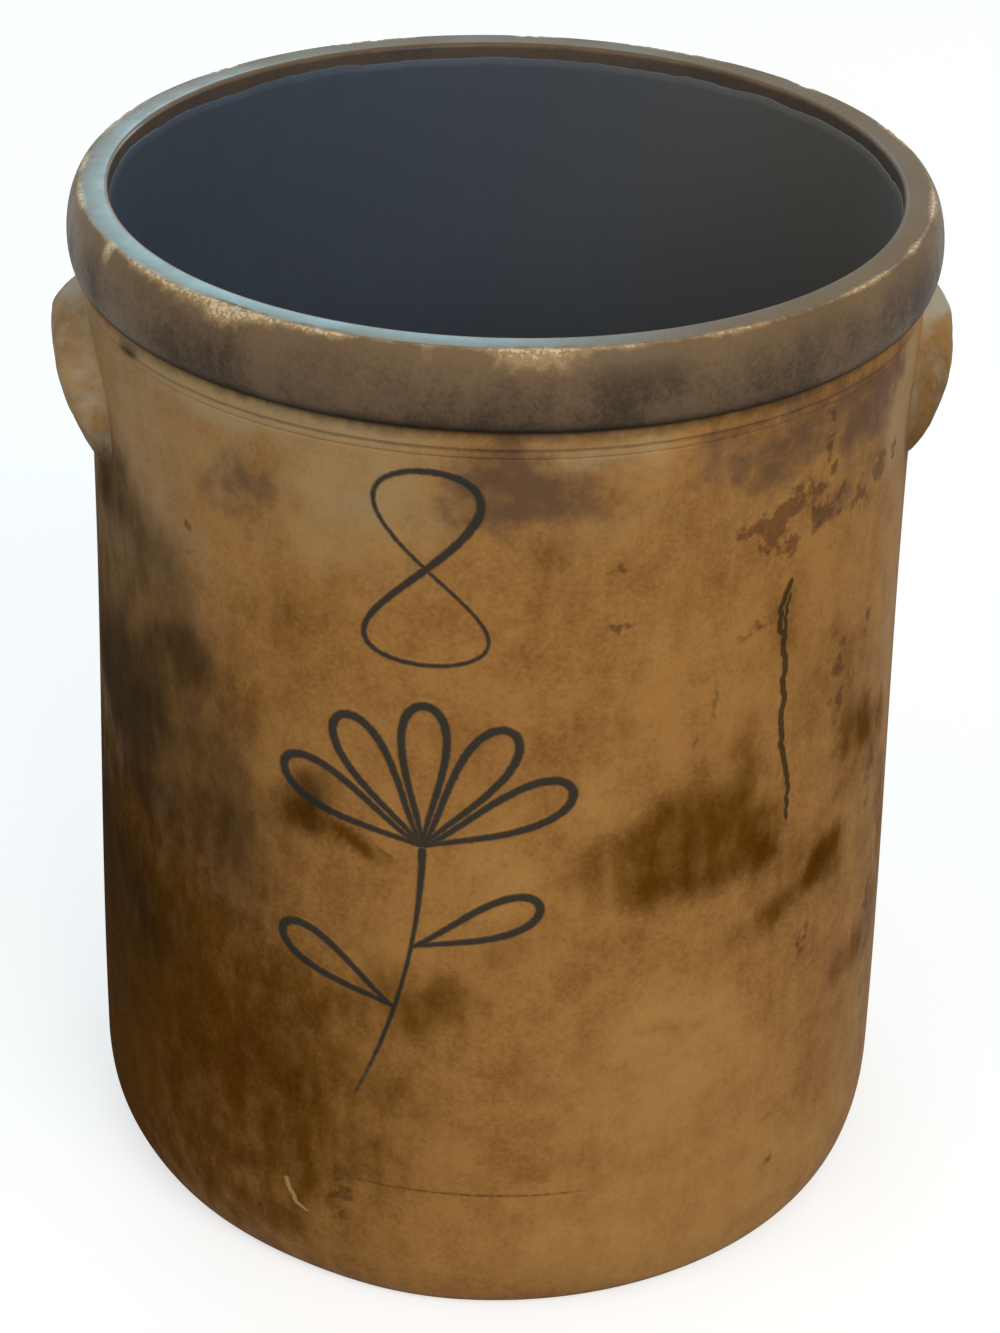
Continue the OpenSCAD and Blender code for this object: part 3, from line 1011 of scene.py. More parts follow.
@dataclass(frozen=True)
class WallGlaze:
    """Salt glaze of the wall: ochre and tan, smoked in places, with painted shade on the lower left
    and in the crease under the roll, darker along the turned lines and near the foot, bare where it
    stands.
    """

    ground: WallGround = WallGround()
    bare: str = "#8a7458"
    grime: str = "#3b2c1a"

    def make(self, groups: GlazeGroups) -> bpy.types.Material:
        """Builds the material from the shared groups."""
        finish, colour, gloss = self.ground.start("salt_glaze", groups)
        sheet = finish.sheet
        bare = sheet.layer(Layer.BARE)
        # Painted shade in the crease under the roll; darker along the turned lines and near the
        # foot.
        crease_and_lines = finish.mask(Layer.GRIME, 140, 0.25, 0.05, 0.95)
        darkened = sheet.tint(crease_and_lines, 0.8, colour, self.grime)
        finish.colour(sheet.blend(bare, darkened, self.bare))
        finish.sheen(sheet.product(gloss, sheet.remap(bare, 0.0, 1.0, 1.0, 0.1)))
        finish.relief(finish.skin(0.028, 0.10))
        return finish.material


@dataclass(frozen=True)
class RimGlaze:
    """Darker, glossier glaze of the rim, worn through to the clay along its ridge, with painted
    glints there, painted light on the roll's crown and painted shade down the roll and in the
    crease under it.
    """

    light: str = "#745e46"
    deep: str = "#44372b"
    crown: str = "#765f43"
    scuff_and_glint: str = "#a58960"
    worn: str = "#dcc9a2"
    lip: str = "#6f5a3e"
    inside: str = "#544b44"
    grime: str = "#1f1912"

    def make(self, groups: GlazeGroups) -> bpy.types.Material:
        """Builds the material from the shared groups."""
        finish = Finish("rim_glaze", groups, Specular_IOR_Level=0.08, IOR=1.5, Coat_Roughness=0.17)
        sheet = finish.sheet
        mottle = finish.mottle()
        patches = sheet.remap(sheet.noise(finish.places, 30, detail=4), 0.30, 0.70)
        fine = sheet.weigh(mottle, Small=0.16, Runs=0.12, Grain=0.22)
        tone = sheet.sum(sheet.product(patches, 0.50), fine)
        body = sheet.blend(sheet.remap(tone, 0.15, 0.85), self.light, self.deep)
        # Painted light: the crown of the roll is painted paler.
        top_lit = sheet.tint(sheet.layer(Layer.CROWN), 0.8, body, self.crown)
        topped = sheet.blend(sheet.layer(Layer.BARE), top_lit, self.lip)
        lined = sheet.tint(sheet.layer(Layer.INSIDE), 0.8, topped, self.inside)
        # The wear colours are partly worn glaze and partly painted golden glints along the ridge.
        rubbed = finish.mask(Layer.WEAR, 260, 0.45, 0.1, 0.9)
        scuff_and_glint = sheet.tint(rubbed, 0.8, lined, self.scuff_and_glint)
        flakes_and_glints = finish.mask(Layer.WEAR, 700, 1.0, 0.75, 1.45)
        worn = sheet.tint(flakes_and_glints, 0.8, scuff_and_glint, self.worn)
        # Painted shade: darker down the roll and in the crease under it.
        grime = sheet.product(sheet.layer(Layer.GRIME), 0.9)
        finish.colour(sheet.blend(grime, worn, self.grime))
        gloss = sheet.layer(Layer.LIP)
        rough = sheet.remap(tone, 0.1, 0.9, 0.38, 0.55)
        dulled = sheet.sum(rough, sheet.product(grime, 0.6))
        finish.roughness(sheet.sum(dulled, sheet.product(gloss, -0.18)))
        smears = sheet.remap(mottle.outputs["Small"], 0.1, 0.9, 0.40, 0.66)
        finish.sheen(sheet.sum(sheet.product(gloss, smears), 0.06))
        finish.relief(finish.skin(0.03, 0.16))
        return finish.material


@dataclass(frozen=True)
class EarGlaze:
    """Salt glaze of an ear: the wall's own, paler on the outermost face, and paler and greyer on
    the crown as a painted reflection.
    """

    ground: WallGround = WallGround(clear_gloss=0.15, smoked_shaded_gloss=0.03)
    worn: str = "#b08a50"
    crown: str = "#b7b09e"

    def make(self, groups: GlazeGroups) -> bpy.types.Material:
        """Builds the material from the shared groups."""
        finish, colour, gloss = self.ground.start("ear_glaze", groups)
        sheet = finish.sheet
        wear = finish.mask(Layer.WEAR, 120, 1.0, 0.35, 0.95)
        rubbed = sheet.tint(wear, 0.30, colour, self.worn)
        # Painted reflection: the crown is painted pale grey where the haze layer lies on the ear.
        crown = finish.mask(Layer.HAZE, 110, 0.40, 0.40, 1.20)
        finish.colour(sheet.tint(crown, 0.60, rubbed, self.crown))
        finish.sheen(gloss)
        finish.relief(finish.skin(0.03, 0.14))
        return finish.material


@dataclass(frozen=True)
class DarkSlip:
    """Dark slip poured round the inside: blue black, with small pale pinholes, and lighter and less
    blue on one side as painted light.
    """

    light: str = "#48525f"
    deep: str = "#414954"
    lit_side: str = "#66635b"
    pinhole: str = "#8a8478"

    def make(self, groups: GlazeGroups) -> bpy.types.Material:
        """Builds the material from the shared groups."""
        finish = Finish("dark_slip", groups, Specular_IOR_Level=0.25, IOR=1.5)
        sheet = finish.sheet
        mottle = finish.mottle()
        cool = sheet.blend(sheet.weigh(mottle, Small=0.6, Fleck=0.4), self.light, self.deep)
        # Painted light: lighter and less blue where the pale layer lies.
        body = sheet.blend(sheet.layer(Layer.PALE), cool, self.lit_side)
        specks = sheet.cells(sheet.shifted(finish.places, (6, 2, 8)), 34, "F1")
        dots = sheet.remap(specks, 0.010, 0.022, 1.0, 0.0)
        finish.colour(sheet.tint(dots, 0.7, body, self.pinhole))
        finish.roughness(sheet.remap(mottle.outputs["Small"], 0.0, 1.0, 0.42, 0.55))
        finish.relief(finish.skin(0.02, 0.12))
        return finish.material


@dataclass(frozen=True)
class BareClay:
    """Unglazed clay under the floor, with the loops that the cutting wire left."""

    light: str = "#9c8668"
    deep: str = "#6d5740"

    def make(self, groups: GlazeGroups) -> bpy.types.Material:
        """Builds the material from the shared groups."""
        finish = Finish("bare_clay", groups, Specular_IOR_Level=0.2, IOR=1.5)
        sheet = finish.sheet
        mottle = finish.mottle()
        finish.colour(sheet.blend(mottle.outputs["Small"], self.light, self.deep))
        finish.roughness(sheet.remap(mottle.outputs["Fleck"], 0.0, 1.0, 0.72, 0.85))
        loops = sheet.add("TexWave", wave_type="RINGS", rings_direction="Z")
        sheet.feed(loops.inputs["Vector"], sheet.shifted(finish.places, (0.21, 0.05, 0)))
        loops.inputs["Scale"].default_value = 60
        loops.inputs["Distortion"].default_value = 1.6
        grain = sheet.noise(finish.places, 900, detail=3)
        cut = sheet.sum(sheet.product(loops.outputs["Fac"], 0.25), sheet.product(grain, 0.12))
        finish.relief(sheet.product(cut, MM))
        return finish.material


@dataclass(frozen=True)
class MarkFinish:
    """A mark on the wall whose stroke layer fades out into the wall's own glaze.

    Its edge runs from low to high on that layer. thickness is how high it stands in
    the relief, in millimetres, and is below zero where the mark is cut in.
    """

    name: str
    colour: str
    strength: float
    ground: WallGround = WallGround()
    low: float = 0.15
    high: float = 0.75
    thickness: float = 0.15

    def make(self, groups: GlazeGroups) -> bpy.types.Material:
        """Builds the material from the shared groups."""
        finish, colour, gloss = self.ground.start(self.name, groups)
        sheet = finish.sheet
        mask = finish.mask(Layer.STROKE, 420, 0.14, self.low, self.high)
        finish.colour(sheet.tint(mask, self.strength, colour, self.colour))
        finish.sheen(gloss)
        edge = sheet.product(mask, self.thickness * MM)
        finish.relief(sheet.sum(finish.skin(0.028, 0.10), edge))
        return finish.material


@dataclass
class Workshop:
    """What every sub-assembly needs: sizes, kiln marks, groups and finished materials."""

    shape: Shape = field(default_factory=Shape)
    marks: KilnMarks = field(default_factory=KilnMarks)
    groups: GlazeGroups = field(default_factory=GlazeGroups)

    def dress(
        self, piece: bpy.types.Object, material: bpy.types.Material, slot: str, *nodes: str
    ) -> bpy.types.Object:
        """Gives a piece its material, its body and the nodes that it stands for.

        Args:
            piece: The finished piece.
            material: Its material.
            slot: The record's material slot; not used.
            *nodes: CAD nodes that it replaces.

        Returns:
            The same piece.
        """
        piece.data.materials.append(material)
        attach(piece, "root")
        if nodes:
            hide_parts(*nodes)
        counts = len(piece.data.vertices), len(piece.data.polygons)
        LOG.info("%s: %d vertices, %d faces", piece.name, *counts)
        return piece


@dataclass
class ThrownBody:
    """The wall with its turned lines, and the floor slab in its foot.

    foot_inset is how far inside the foot's edge its flat underside has a ring of
    points. The heel is pared by pared_depth at pared_azimuth, and pared_half on
    either side of it the cut is down to about a third.
    """

    shop: Workshop
    turn_steps: int = 360
    ring_gap: float = 2.5 * MM
    heel_steps: int = 22
    foot_inset: float = 8 * MM
    pared_azimuth: float = -50
    pared_half: float = 29
    pared_depth: float = 3.5 * MM
    pared_fade: float = 0.7
    slab_bevel: float = 0.4 * MM
    front_half: float = 48

    def _side_top(self) -> float:
        """Height of the last plain ring below the turned lines."""
        s = self.shop.shape
        return s.band_z - s.line_gap - s.line_w

    def _groove(self, z: float) -> list[tuple[float, float]]:
        """A turned line: a rounded V cut at height z."""
        s = self.shop.shape
        points = []
        for share in spread(-1, 1, 8):
            height = z + share * s.line_w * 0.8
            cut = s.line_depth * math.exp(-4.5 * share * share)
            points.append((float(s.side_r(height)) - cut, height))
        return points

    def outside(self) -> list[tuple[float, float]]:
        """The outer profile, from the foot ring up to the neck."""
        s = self.shop.shape
        heel = [
            (s.foot_r + s.foot_tuck * math.sin(a), s.belly_z * (1 - math.cos(a)))
            for a in arc(self.heel_steps, 0, 90)
        ]
        rings = round((self._side_top() - s.belly_z) / self.ring_gap)
        side = [(float(s.side_r(z)), z) for z in spread(s.belly_z, self._side_top(), rings)[1:]]
        lower = self._groove(s.band_z - s.line_gap)
        upper = [point for point in self._groove(s.band_z - s.line_w / 2) if point[1] < s.band_z]
        rise = s.band_rise
        shoulder = [
            (s.band_r - rise * (1 - math.sin(a)), s.band_z + rise * (1.6 - math.cos(a)))
            for a in arc(5, 0, 90)
        ]
        return heel + side + lower + upper + shoulder + [(s.band_r, s.neck_z)]

    def wall(self) -> bpy.types.Object:
        """Builds and paints the wall.

        Returns:
            The wall's piece.
        """
        s = self.shop.shape
        inside = [(s.mouth_r, z) for z in (s.lap_z, (s.neck_z + s.cove_z) / 2)]
        cove = [
            (s.cove_mid + s.cove_r * math.cos(a), s.cove_z - s.cove_r * math.sin(a))
            for a in arc(8, 0, 90)
        ]
        profile = (
            [(s.cove_mid - s.step_w, 0), (s.foot_r - self.foot_inset, 0)]
            + self.outside()
            + [(s.lap_r, s.neck_z), (s.lap_r, s.lap_z)]
            + inside
            + cove
            + [(s.cove_mid, s.step_h), (s.cove_mid - s.step_w, s.step_h)]
        )
        bm = turn_on_wheel(profile, self.turn_steps)
        self._pare_heel(bm)
        piece = finish_mesh(bm, "wall_glazed")
        self._paint_wall(piece.data)
        return self.shop.dress(piece, WallGlaze().make(self.shop.groups), "salt_glaze", "wall")

    def _pare_heel(self, bm: bmesh.types.BMesh) -> None:
        """Pares the heel left of the front, where the pot isn't quite round.

        Args:
            bm: The turned wall.
        """
        s = self.shop.shape
        outer_r = (s.mouth_r + s.foot_r) / 2
        for vert in bm.verts:
            radius = math.hypot(vert.co.x, vert.co.y)
            near_foot = 1 - vert.co.z / s.belly_z
            if radius > outer_r and near_foot > 0:
                turn = turned_from(self.pared_azimuth, azimuth_at(vert.co)) / self.pared_half
                cut = self.pared_depth * near_foot**self.pared_fade * math.exp(-(turn**4))
                vert.co.xy *= 1 - cut / radius

    def _paint_wall(self, mesh: bpy.types.Mesh) -> None:
        """Paints kiln marks, the bare foot, painted shade in the crease under the roll, and darker
        turned lines and foot.
        """
        s = self.shop.shape
        self.shop.marks.paint(mesh, s)
        points = points_of(mesh)
        z = points[:, 2]
        write_layer(mesh, Layer.BARE, np.clip(1 - z / (1.2 * MM), 0, 1))
        grooves = np.zeros(len(points))
        # Height, width in millimetres and strength of each darker line: the first two are painted
        # shade under the roll, the last two lie in the turned lines.
        lines = (
            (s.neck_z, 1.5, 0.90),
            (s.neck_z - 4 * MM, 4.0, 0.08),
            (s.band_z - s.line_w / 2, 0.9, 0.34),
            (s.band_z - s.line_gap, 0.9, 0.26),
        )
        front = 0.35 + 0.65 * bell(azimuth_of(points), self.front_half)
        for height, width, strength in lines:
            grooves += front * strength * bell(z - height, width * MM)
        # Darker near the foot.
        foot = 0.4 * bell(z - 3 * MM, 3 * MM)
        write_layer(mesh, Layer.GRIME, np.clip(grooves + foot, 0, 1))

    def floor(self) -> bpy.types.Object:
        """Builds the floor slab, bare clay underneath.

        Returns:
            The slab's piece.
        """
        s = self.shop.shape
        inner = s.cove_mid - s.step_w
        rings = [(r, 0.0) for r in spread(0, inner, 24)]
        profile = rings + [
            (inner, s.step_h),
            (s.cove_mid, s.step_h),
            (s.cove_mid, s.floor_t),
            (0.0, s.floor_t),
        ]
        bm = turn_on_wheel(profile, self.turn_steps // 2)
        sharp = [e for e in bm.edges if e.is_manifold and e.calc_face_angle() > math.radians(60)]
        rounding = {"offset": self.slab_bevel, "segments": 2, "profile": 0.5, "material": -1}
        bmesh.ops.bevel(bm, geom=sharp, affect="EDGES", **rounding)
        piece = finish_mesh(bm, "floor_clay")
        return self.shop.dress(piece, BareClay().make(self.shop.groups), "bare_clay", "floor_slab")


@dataclass(frozen=True)
class Chip:
    """One place where the ridge of the rim is knocked or worn back.

    The azimuth and the half angle along the ridge are in degrees, the depth in
    millimetres, and reach says how far down the roll the wear runs, in millimetres.
    bareness is the share of the glaze that has gone.
    """

    azimuth: float
    half_angle: float
    depth: float
    reach: float = 2.5
    bareness: float = 1.0


@dataclass
class RolledRim:
    """The rolled rim: a flat glossy lip, a worn ridge with painted glints, and a dark roll,
    painted lighter at its crown as painted light and darker further down as painted shade.

    wear_back and chip_back say how far wear and chips reach on to the lip, ridge_half
    how wide the ridge's worn line is, and crown_h how far down the roll's paler crown
    runs, all in millimetres.
    """

    shop: Workshop
    turn_steps: int = 720
    glossy_azimuth: float = -72
    glossy_half: float = 72
    rubbed_gloss: float = 0.12
    jag_size: float = 2.6 * MM
    wear_back: float = 1.6
    chip_back: float = 1.4
    ridge_wear: float = 0.50
    ridge_half: float = 1.0
    most_wear: float = 1.2
    crown_h: float = 9
    crease_h: float = 3.0 * MM
    roll_shade: float = 0.45
    # Their wear also paints golden glints on the ridge, most from -66 to -28 and at -1.
    chips: tuple[Chip, ...] = rows(
        Chip,
        (-84, 5.0, 0.3, 2.0), (-66, 1.3, 0.8, 7.0, 1.3), (-56, 5.0, 0.3, 3.0, 0.8),
        (-46, 6.0, 0.4, 5.0, 0.8), (-41, 3.4, 0.8, 6.0, 1.1), (-36, 2.8, 0.8, 3.2),
        (-28, 4.6, 0.4, 2.4, 0.8), (-14, 0.9, 0.0, 16.0, 0.24), (-1, 5.6, 0.3, 8.0, 0.9),
        (9, 4.0, 0.1, 3.0, 0.4), (24, 5.0, 0.2, 2.4, 0.5), (48, 6.0, 0.2, 1.6, 0.6),
        (62, 3.0, 0.5, 2.0, 0.7), (78, 5.0, 0.5, 3.0), (104, 5.0, 0.4, 3.0), (126, 3.0, 0.8, 4.0),
        (150, 8.0, 0.3, 2.5), (171, 3.0, 0.7, 4.0), (196, 6.0, 0.4, 3.0), (222, 4.0, 0.8, 4.0),
        (247, 7.0, 0.3, 2.5), (264, 3.0, 0.6, 3.5),
    )

    def profile(self) -> list[tuple[float, float]]:
        """The rim's section, from the mouth over lip, ridge and roll to the tongue below."""
        s = self.shop.shape
        mid_r = s.rim_r - s.roll_depth
        ridge = math.degrees(math.asin((s.ridge_r - mid_r) / s.roll_depth))
        up = s.roll_drop / math.cos(math.radians(ridge))
        lip = [
            (
                s.mouth_r + s.lip_round * (1 - math.cos(a)),
                s.height - s.lip_round * (1 - math.sin(a)),
            )
            for a in arc(7, 0, 90)
        ]
        flat = [(r, s.height) for r in spread(s.mouth_r + s.lip_round, s.ridge_r, 8)[1:]]
        upper = [
            (mid_r + s.roll_depth * math.sin(a), s.height - s.roll_drop + up * math.cos(a))
            for a in arc(26, ridge, 90)
        ][1:]
        lower = [
            (
                s.band_r + (s.rim_r - s.band_r) * math.cos(a),
                s.height - s.roll_drop - (s.rim_h - s.roll_drop) * math.sin(a),
            )
            for a in arc(16, 0, 90)
        ][1:]
        tongue = [(s.lap_r, s.neck_z), (s.lap_r, s.lap_z), (s.mouth_r, s.lap_z)]
        face = [(s.mouth_r, z) for z in spread(s.lap_z, s.height - s.lip_round, 4)[1:-1]]
        return lip + flat + upper + lower + tongue + face

    def _wear(self, point: Vector) -> tuple[float, float]:
        """How worn the rim is at a point, and how deep it is chipped there.

        Args:
            point: A point on the rim.

        Returns:
            Wear from 0 to most_wear, and the chip's depth in metres.
        """
        s = self.shop.shape
        radius = math.hypot(point.x, point.y)
        azimuth = azimuth_at(point)
        down = math.hypot(max(radius - s.ridge_r, 0), max(s.height - point.z, 0)) / MM
        back = max(s.ridge_r - radius, 0) / MM
        wear, depth = 0.0, 0.0
        for chip in self.chips:
            turn = abs(turned_from(chip.azimuth, azimuth)) / chip.half_angle
            near = math.exp(-(turn**4)) * math.exp(-((down / chip.reach) ** 2))
            wear += chip.bareness * near * math.exp(-((back / self.wear_back) ** 2))
            depth += chip.depth * MM * near * math.exp(-((back / self.chip_back) ** 2))
        # The worn line along the ridge is partly a painted glint.
        line = self.ridge_wear * math.exp(-(((down + back) / self.ridge_half) ** 2))
        return min(wear + line, self.most_wear), depth

    def _gloss(self, azimuth: np.ndarray, radius: np.ndarray) -> np.ndarray:
        """How glossy the lip has stayed: most on its left and inner part, least where it's rubbed.

        Args:
            azimuth: Azimuths of the points in degrees.
            radius: Their radii.

        Returns:
            A share from 0 to 1.
        """
        turn = np.abs(turned_from(self.glossy_azimuth, azimuth)) / self.glossy_half
        kept = 1 / (1 + turn**10)
        inner = np.clip(1.25 - (radius - self.shop.shape.mouth_r) / self.shop.shape.lip_w, 0.3, 1)
        return self.rubbed_gloss + (1 - self.rubbed_gloss) * kept * inner

    def _chip(self, bm: bmesh.types.BMesh) -> np.ndarray:
        """Knocks the chips out of the ridge.

        Args:
            bm: The turned rim.

        Returns:
            How worn the rim is at each vertex.
        """
        wear = []
        for vert in bm.verts:
            amount, depth = self._wear(vert.co)
            jag = max(0.0, 0.5 + 1.4 * noise.noise(vert.co / self.jag_size))
            out = Vector((vert.co.x, vert.co.y, 0)).normalized()
            vert.co -= (out * 0.6 + Vector((0, 0, 0.8))) * depth * jag
            wear.append(amount)
        return np.array(wear)

    def _paint(self, mesh: bpy.types.Mesh, wear: np.ndarray) -> None:
        """Paints the wear with painted glints, the glossy lip, the shaded inside, painted light on
        the crown of the roll, and painted shade down the roll and in the crease under it.

        Args:
            mesh: The rim's mesh.
            wear: How worn the rim is at each vertex.
        """
        s = self.shop.shape
        points = points_of(mesh)
        radius = np.hypot(points[:, 0], points[:, 1])
        down = (s.height - points[:, 2]) / MM
        flat = np.clip((s.ridge_r + 0.4 * MM - radius) / (1.6 * MM), 0, 1)
        outside = radius > s.mouth_r + s.lip_w / 2
        write_layer(mesh, Layer.WEAR, wear)
        write_layer(mesh, Layer.BARE, np.clip(1.15 - down / 1.2, 0, 1) * flat)
        skin = np.clip(1.4 - down / 3, 0, 1) * flat
        write_layer(mesh, Layer.LIP, skin * self._gloss(azimuth_of(points), radius))
        write_layer(mesh, Layer.INSIDE, np.clip(down / 1.6 - 0.4, 0, 1) * ~outside)
        # Painted light: the crown of the roll, paler towards the ridge.
        write_layer(mesh, Layer.CROWN, bell(down, self.crown_h) * outside)
        # Painted shade: darker in the crease under the roll and more and more down the roll.
        low = bell(points[:, 2] - s.neck_z, self.crease_h)
        shade = self.roll_shade * np.clip(down * MM / s.rim_h - 0.2, 0, 1)
        write_layer(mesh, Layer.GRIME, np.clip(low * 0.8 + shade, 0, 1) * outside)

    def build(self) -> bpy.types.Object:
        """Builds, chips and paints the rim.

        Returns:
            The rim's piece.
        """
        bm = turn_on_wheel(self.profile(), self.turn_steps)
        wear = self._chip(bm)
        piece = finish_mesh(bm, "rim_glazed")
        self._paint(piece.data, wear)
        return self.shop.dress(piece, RimGlaze().make(self.shop.groups), "rim_glaze", "rolled_rim")


@dataclass
class EarHandle:
    """A strap of clay bent into an arch and smeared on to the wall.

    Its middle line starts half_span from the ear's middle, arches up by rise to drop
    below the lip, and comes down on the other side. The strap reaches inner_w below
    that line, and above it outer_w at the top and foot_w at the feet. skin_share of
    its section faces outwards. dents holds the depth and the size of each layer of
    dents, in millimetres.
    """

    shop: Workshop
    side: Side
    material: bpy.types.Material
    drop: float = 57.5 * MM
    rise: float = 30 * MM
    half_span: float = 42 * MM
    inner_w: float = 11 * MM
    outer_w: float = 17 * MM
    foot_w: float = 14 * MM
    out: float = 13.44 * MM
    taper: float = 40 * MM
    smear_l: float = 12 * MM
    smear_t: float = 0.8 * MM
    sink: float = 0.6 * MM
    boxy: float = 0.7
    bell_top: float = 2.4
    bell_foot: float = 1.5
    skin_share: float = 0.75
    dents: tuple[tuple[float, float], ...] = ((0.55, 13), (0.25, 5))
    ripple: float = 0.22
    ripple_l: float = 1.7 * MM
    ripple_drift: float = 20 * MM
    even_below: float = 4 * MM
    length_steps: int = 132
    around_steps: int = 46

    def _path(self, share: float) -> tuple[float, float, float]:
        """The strap's path at a share of its length.

        Args:
            share: From 0 at one foot's end to 1 at the other's.

        Returns:
            The angle along the arch in radians, the height, and the smear's share, which
            ends at 6/7, where the strap is still half as wide.
        """
        run = self.smear_l / (2 * self.smear_l + math.pi * (self.half_span + self.rise) / 2)
        feet_z = self.shop.shape.height - self.drop - self.rise
        if share < run:
            smear = 1 - share / run
        elif share > 1 - run:
            smear = 1 - (1 - share) / run
        else:
            smear = 0.0
        angle = math.pi * min(max((share - run) / (1 - 2 * run), 0), 1)
        z = feet_z + self.rise * math.sin(angle) - self.smear_l * smear * 6 / 7
        return angle, z, smear * 6 / 7

    def _point(self, share: float, turn: float) -> Vector:
        """A point of the strap's skin.

        Args:
            share: Place along the strap, from 0 to 1.
            turn: Place round its section, from 0 to 1, the last part against the wall.

        Returns:
            The point, on the right ear.
        """
        s = self.shop.shape
        angle, z, smear = self._path(share)
        feet_z = s.height - self.drop - self.rise
        up = min(1.0, (z - feet_z + self.smear_l) / self.taper)
        height = self.smear_t + (self.out - self.smear_t) * (1 - (1 - up) ** 2)
        narrow = math.sqrt(1 - smear**2)
        outer = (self.foot_w + (self.outer_w - self.foot_w) * math.sin(angle)) * narrow
        inner = self.inner_w * narrow
        run = Vector((self.half_span * math.sin(angle), self.rise * math.cos(angle)))
        across = Vector((-run.y, run.x)).normalized()
        if turn < self.skin_share:
            b = math.pi * turn / self.skin_share
            cosine = math.cos(b)
            if cosine > 0:
                shift = outer * cosine
                off = height * (1 - cosine**self.bell_top) ** self.bell_foot
            else:
                shift = -inner * (-cosine) ** self.boxy
                off = height * math.sin(b) ** self.boxy
        else:
            back = (turn - self.skin_share) / (1 - self.skin_share)
            shift = -inner + (inner + outer) * back
            off = -self.sink * math.sin(math.pi * back) ** 0.3
        place = Vector((-self.half_span * math.cos(angle), z)) + across * shift
        off += self._unevenness(place, shift, off)
        radius = float(s.side_r(place.y)) + min(off, self.out)
        wall_turn = place.x / s.neck_r
        return Vector((radius * math.cos(wall_turn), radius * math.sin(wall_turn), place.y))

    def _unevenness(self, place: Vector, shift: float, off: float) -> float:
        """Dents and finger ripples in the clay, which fade out towards the wall.

        Args:
            place: The point's place along the wall and its height.
            shift: How far across the strap it lies.
            off: How far off the wall it stands.

        Returns:
            How much further out it lies, in metres.
        """
        press = Vector((place.x, place.y, off * 2))
        dent = sum(depth * noise.noise(press / (size * MM)) for depth, size in self.dents)
        drift = 2.0 * noise.noise(press / self.ripple_drift)
        ripple = self.ripple * math.sin(shift / self.ripple_l + drift)
        return (dent + ripple) * MM * 0.8 * min(1.0, max(off, 0) / self.even_below)

    def build(self) -> bpy.types.Object:
        """Builds and paints the ear.

        Returns:
            The ear's piece.
        """
        bm = bmesh.new()
        made = bmesh.ops.create_grid(
            bm, x_segments=self.length_steps, y_segments=self.around_steps, size=1
        )
        for vert in made["verts"]:
            vert.co = self._point((vert.co.x + 1) / 2, (vert.co.y + 1) / 2 % 1)
        bmesh.ops.remove_doubles(bm, verts=bm.verts, dist=0.005 * MM)
        bmesh.ops.holes_fill(bm, edges=[e for e in bm.edges if e.is_boundary], sides=0)
        if self.side is Side.LEFT:
            bmesh.ops.rotate(
                bm, verts=bm.verts, cent=(0, 0, 0), matrix=Matrix.Rotation(math.pi, 3, "Z")
            )
        bmesh.ops.recalc_face_normals(bm, faces=bm.faces)
        name = self.side.name.lower() + "_ear"
        piece = finish_mesh(bm, name + "_glazed")
        self.shop.marks.paint(piece.data, self.shop.shape)
        points = points_of(piece.data)
        off = np.hypot(points[:, 0], points[:, 1]) - self.shop.shape.side_r(points[:, 2])
        write_layer(piece.data, Layer.WEAR, np.clip((off / self.out - 0.55) * 1.8, 0, 1))
        return self.shop.dress(piece, self.material, "ear_glaze", name)


@dataclass
class SlipLining:
    """The dark slip inside, with the uneven edge that pouring leaves under the lip.

    Its top lies drop below the lip and thins out over feather. The edge wavers by
    unevenness, less and less down to uneven_depth. On the right of the inside it is
    painted lighter, as painted light.
    """

    shop: Workshop
    thickness: float = 0.8 * MM
    drop: float = 5 * MM
    feather: float = 3.5 * MM
    unevenness: float = 1.3 * MM
    uneven_depth: float = 12 * MM
    lit_azimuth: float = 104
    lit_half: float = 52
    turn_steps: int = 360

    def build(self) -> bpy.types.Object:
        """Builds the lining.

        Returns:
            The lining's piece.
        """
        s = self.shop.shape
        top = s.height - self.drop

        def skin(inset: float) -> list[tuple[float, float]]:
            """The lining's surface, moved in from the clay by inset and thinned out at its top."""
            wall = [
                (s.mouth_r - inset * min(1.0, 0.12 + (top - z) / self.feather), z)
                for z in spread(top, top - 2 * self.feather, 8)[:-1]
                + spread(top - 2 * self.feather, s.cove_z, 56)
            ]
            bend = s.cove_r - inset
            cove = [
                (s.cove_mid + bend * math.cos(a), s.cove_z - bend * math.sin(a))
                for a in arc(12, 0, 90)
            ][1:]
            floor = [(r, s.floor_t + inset) for r in spread(s.cove_mid, 0, 24)[1:]]
            return wall + cove + floor

        bm = turn_on_wheel(list(reversed(skin(0))) + skin(self.thickness), self.turn_steps)
        for vert in bm.verts:
            near = max(0.0, 1 - (top - vert.co.z) / self.uneven_depth)
            if near > 0:
                turn = math.atan2(vert.co.y, vert.co.x)
                around_mouth = Vector((math.cos(turn), math.sin(turn), 0))
                waver = noise.noise(around_mouth * 6) + 0.5 * noise.noise(around_mouth * 29)
                vert.co.z -= near * self.unevenness * (0.9 + waver)
        piece = finish_mesh(bm, "inside_slip")
        # Painted light: the right of the inside is painted lighter.
        turn = turned_from(self.lit_azimuth, azimuth_of(points_of(piece.data)))
        write_layer(piece.data, Layer.PALE, bell(turn, self.lit_half))
        return self.shop.dress(piece, DarkSlip().make(self.shop.groups), "dark_slip", "slip_lining")


@dataclass(frozen=True)
class Stroke:
    """One trailed line: its path in front elevation, in millimetres, and its widths.

    flow says how much slip the line carries at its start, middle and end.
    """

    path: tuple[tuple[float, float], ...]
    widths: tuple[float, float, float]
    flow: tuple[float, float, float] = (1.0, 1.0, 1.0)

    def at(self, share: float, values: tuple[float, float, float]) -> float:
        """A value that goes from the first through the second to the third."""
        swell = math.sin(math.pi * share)
        return (values[0] * (1 - share) + values[2] * share) * (1 - swell) + values[1] * swell


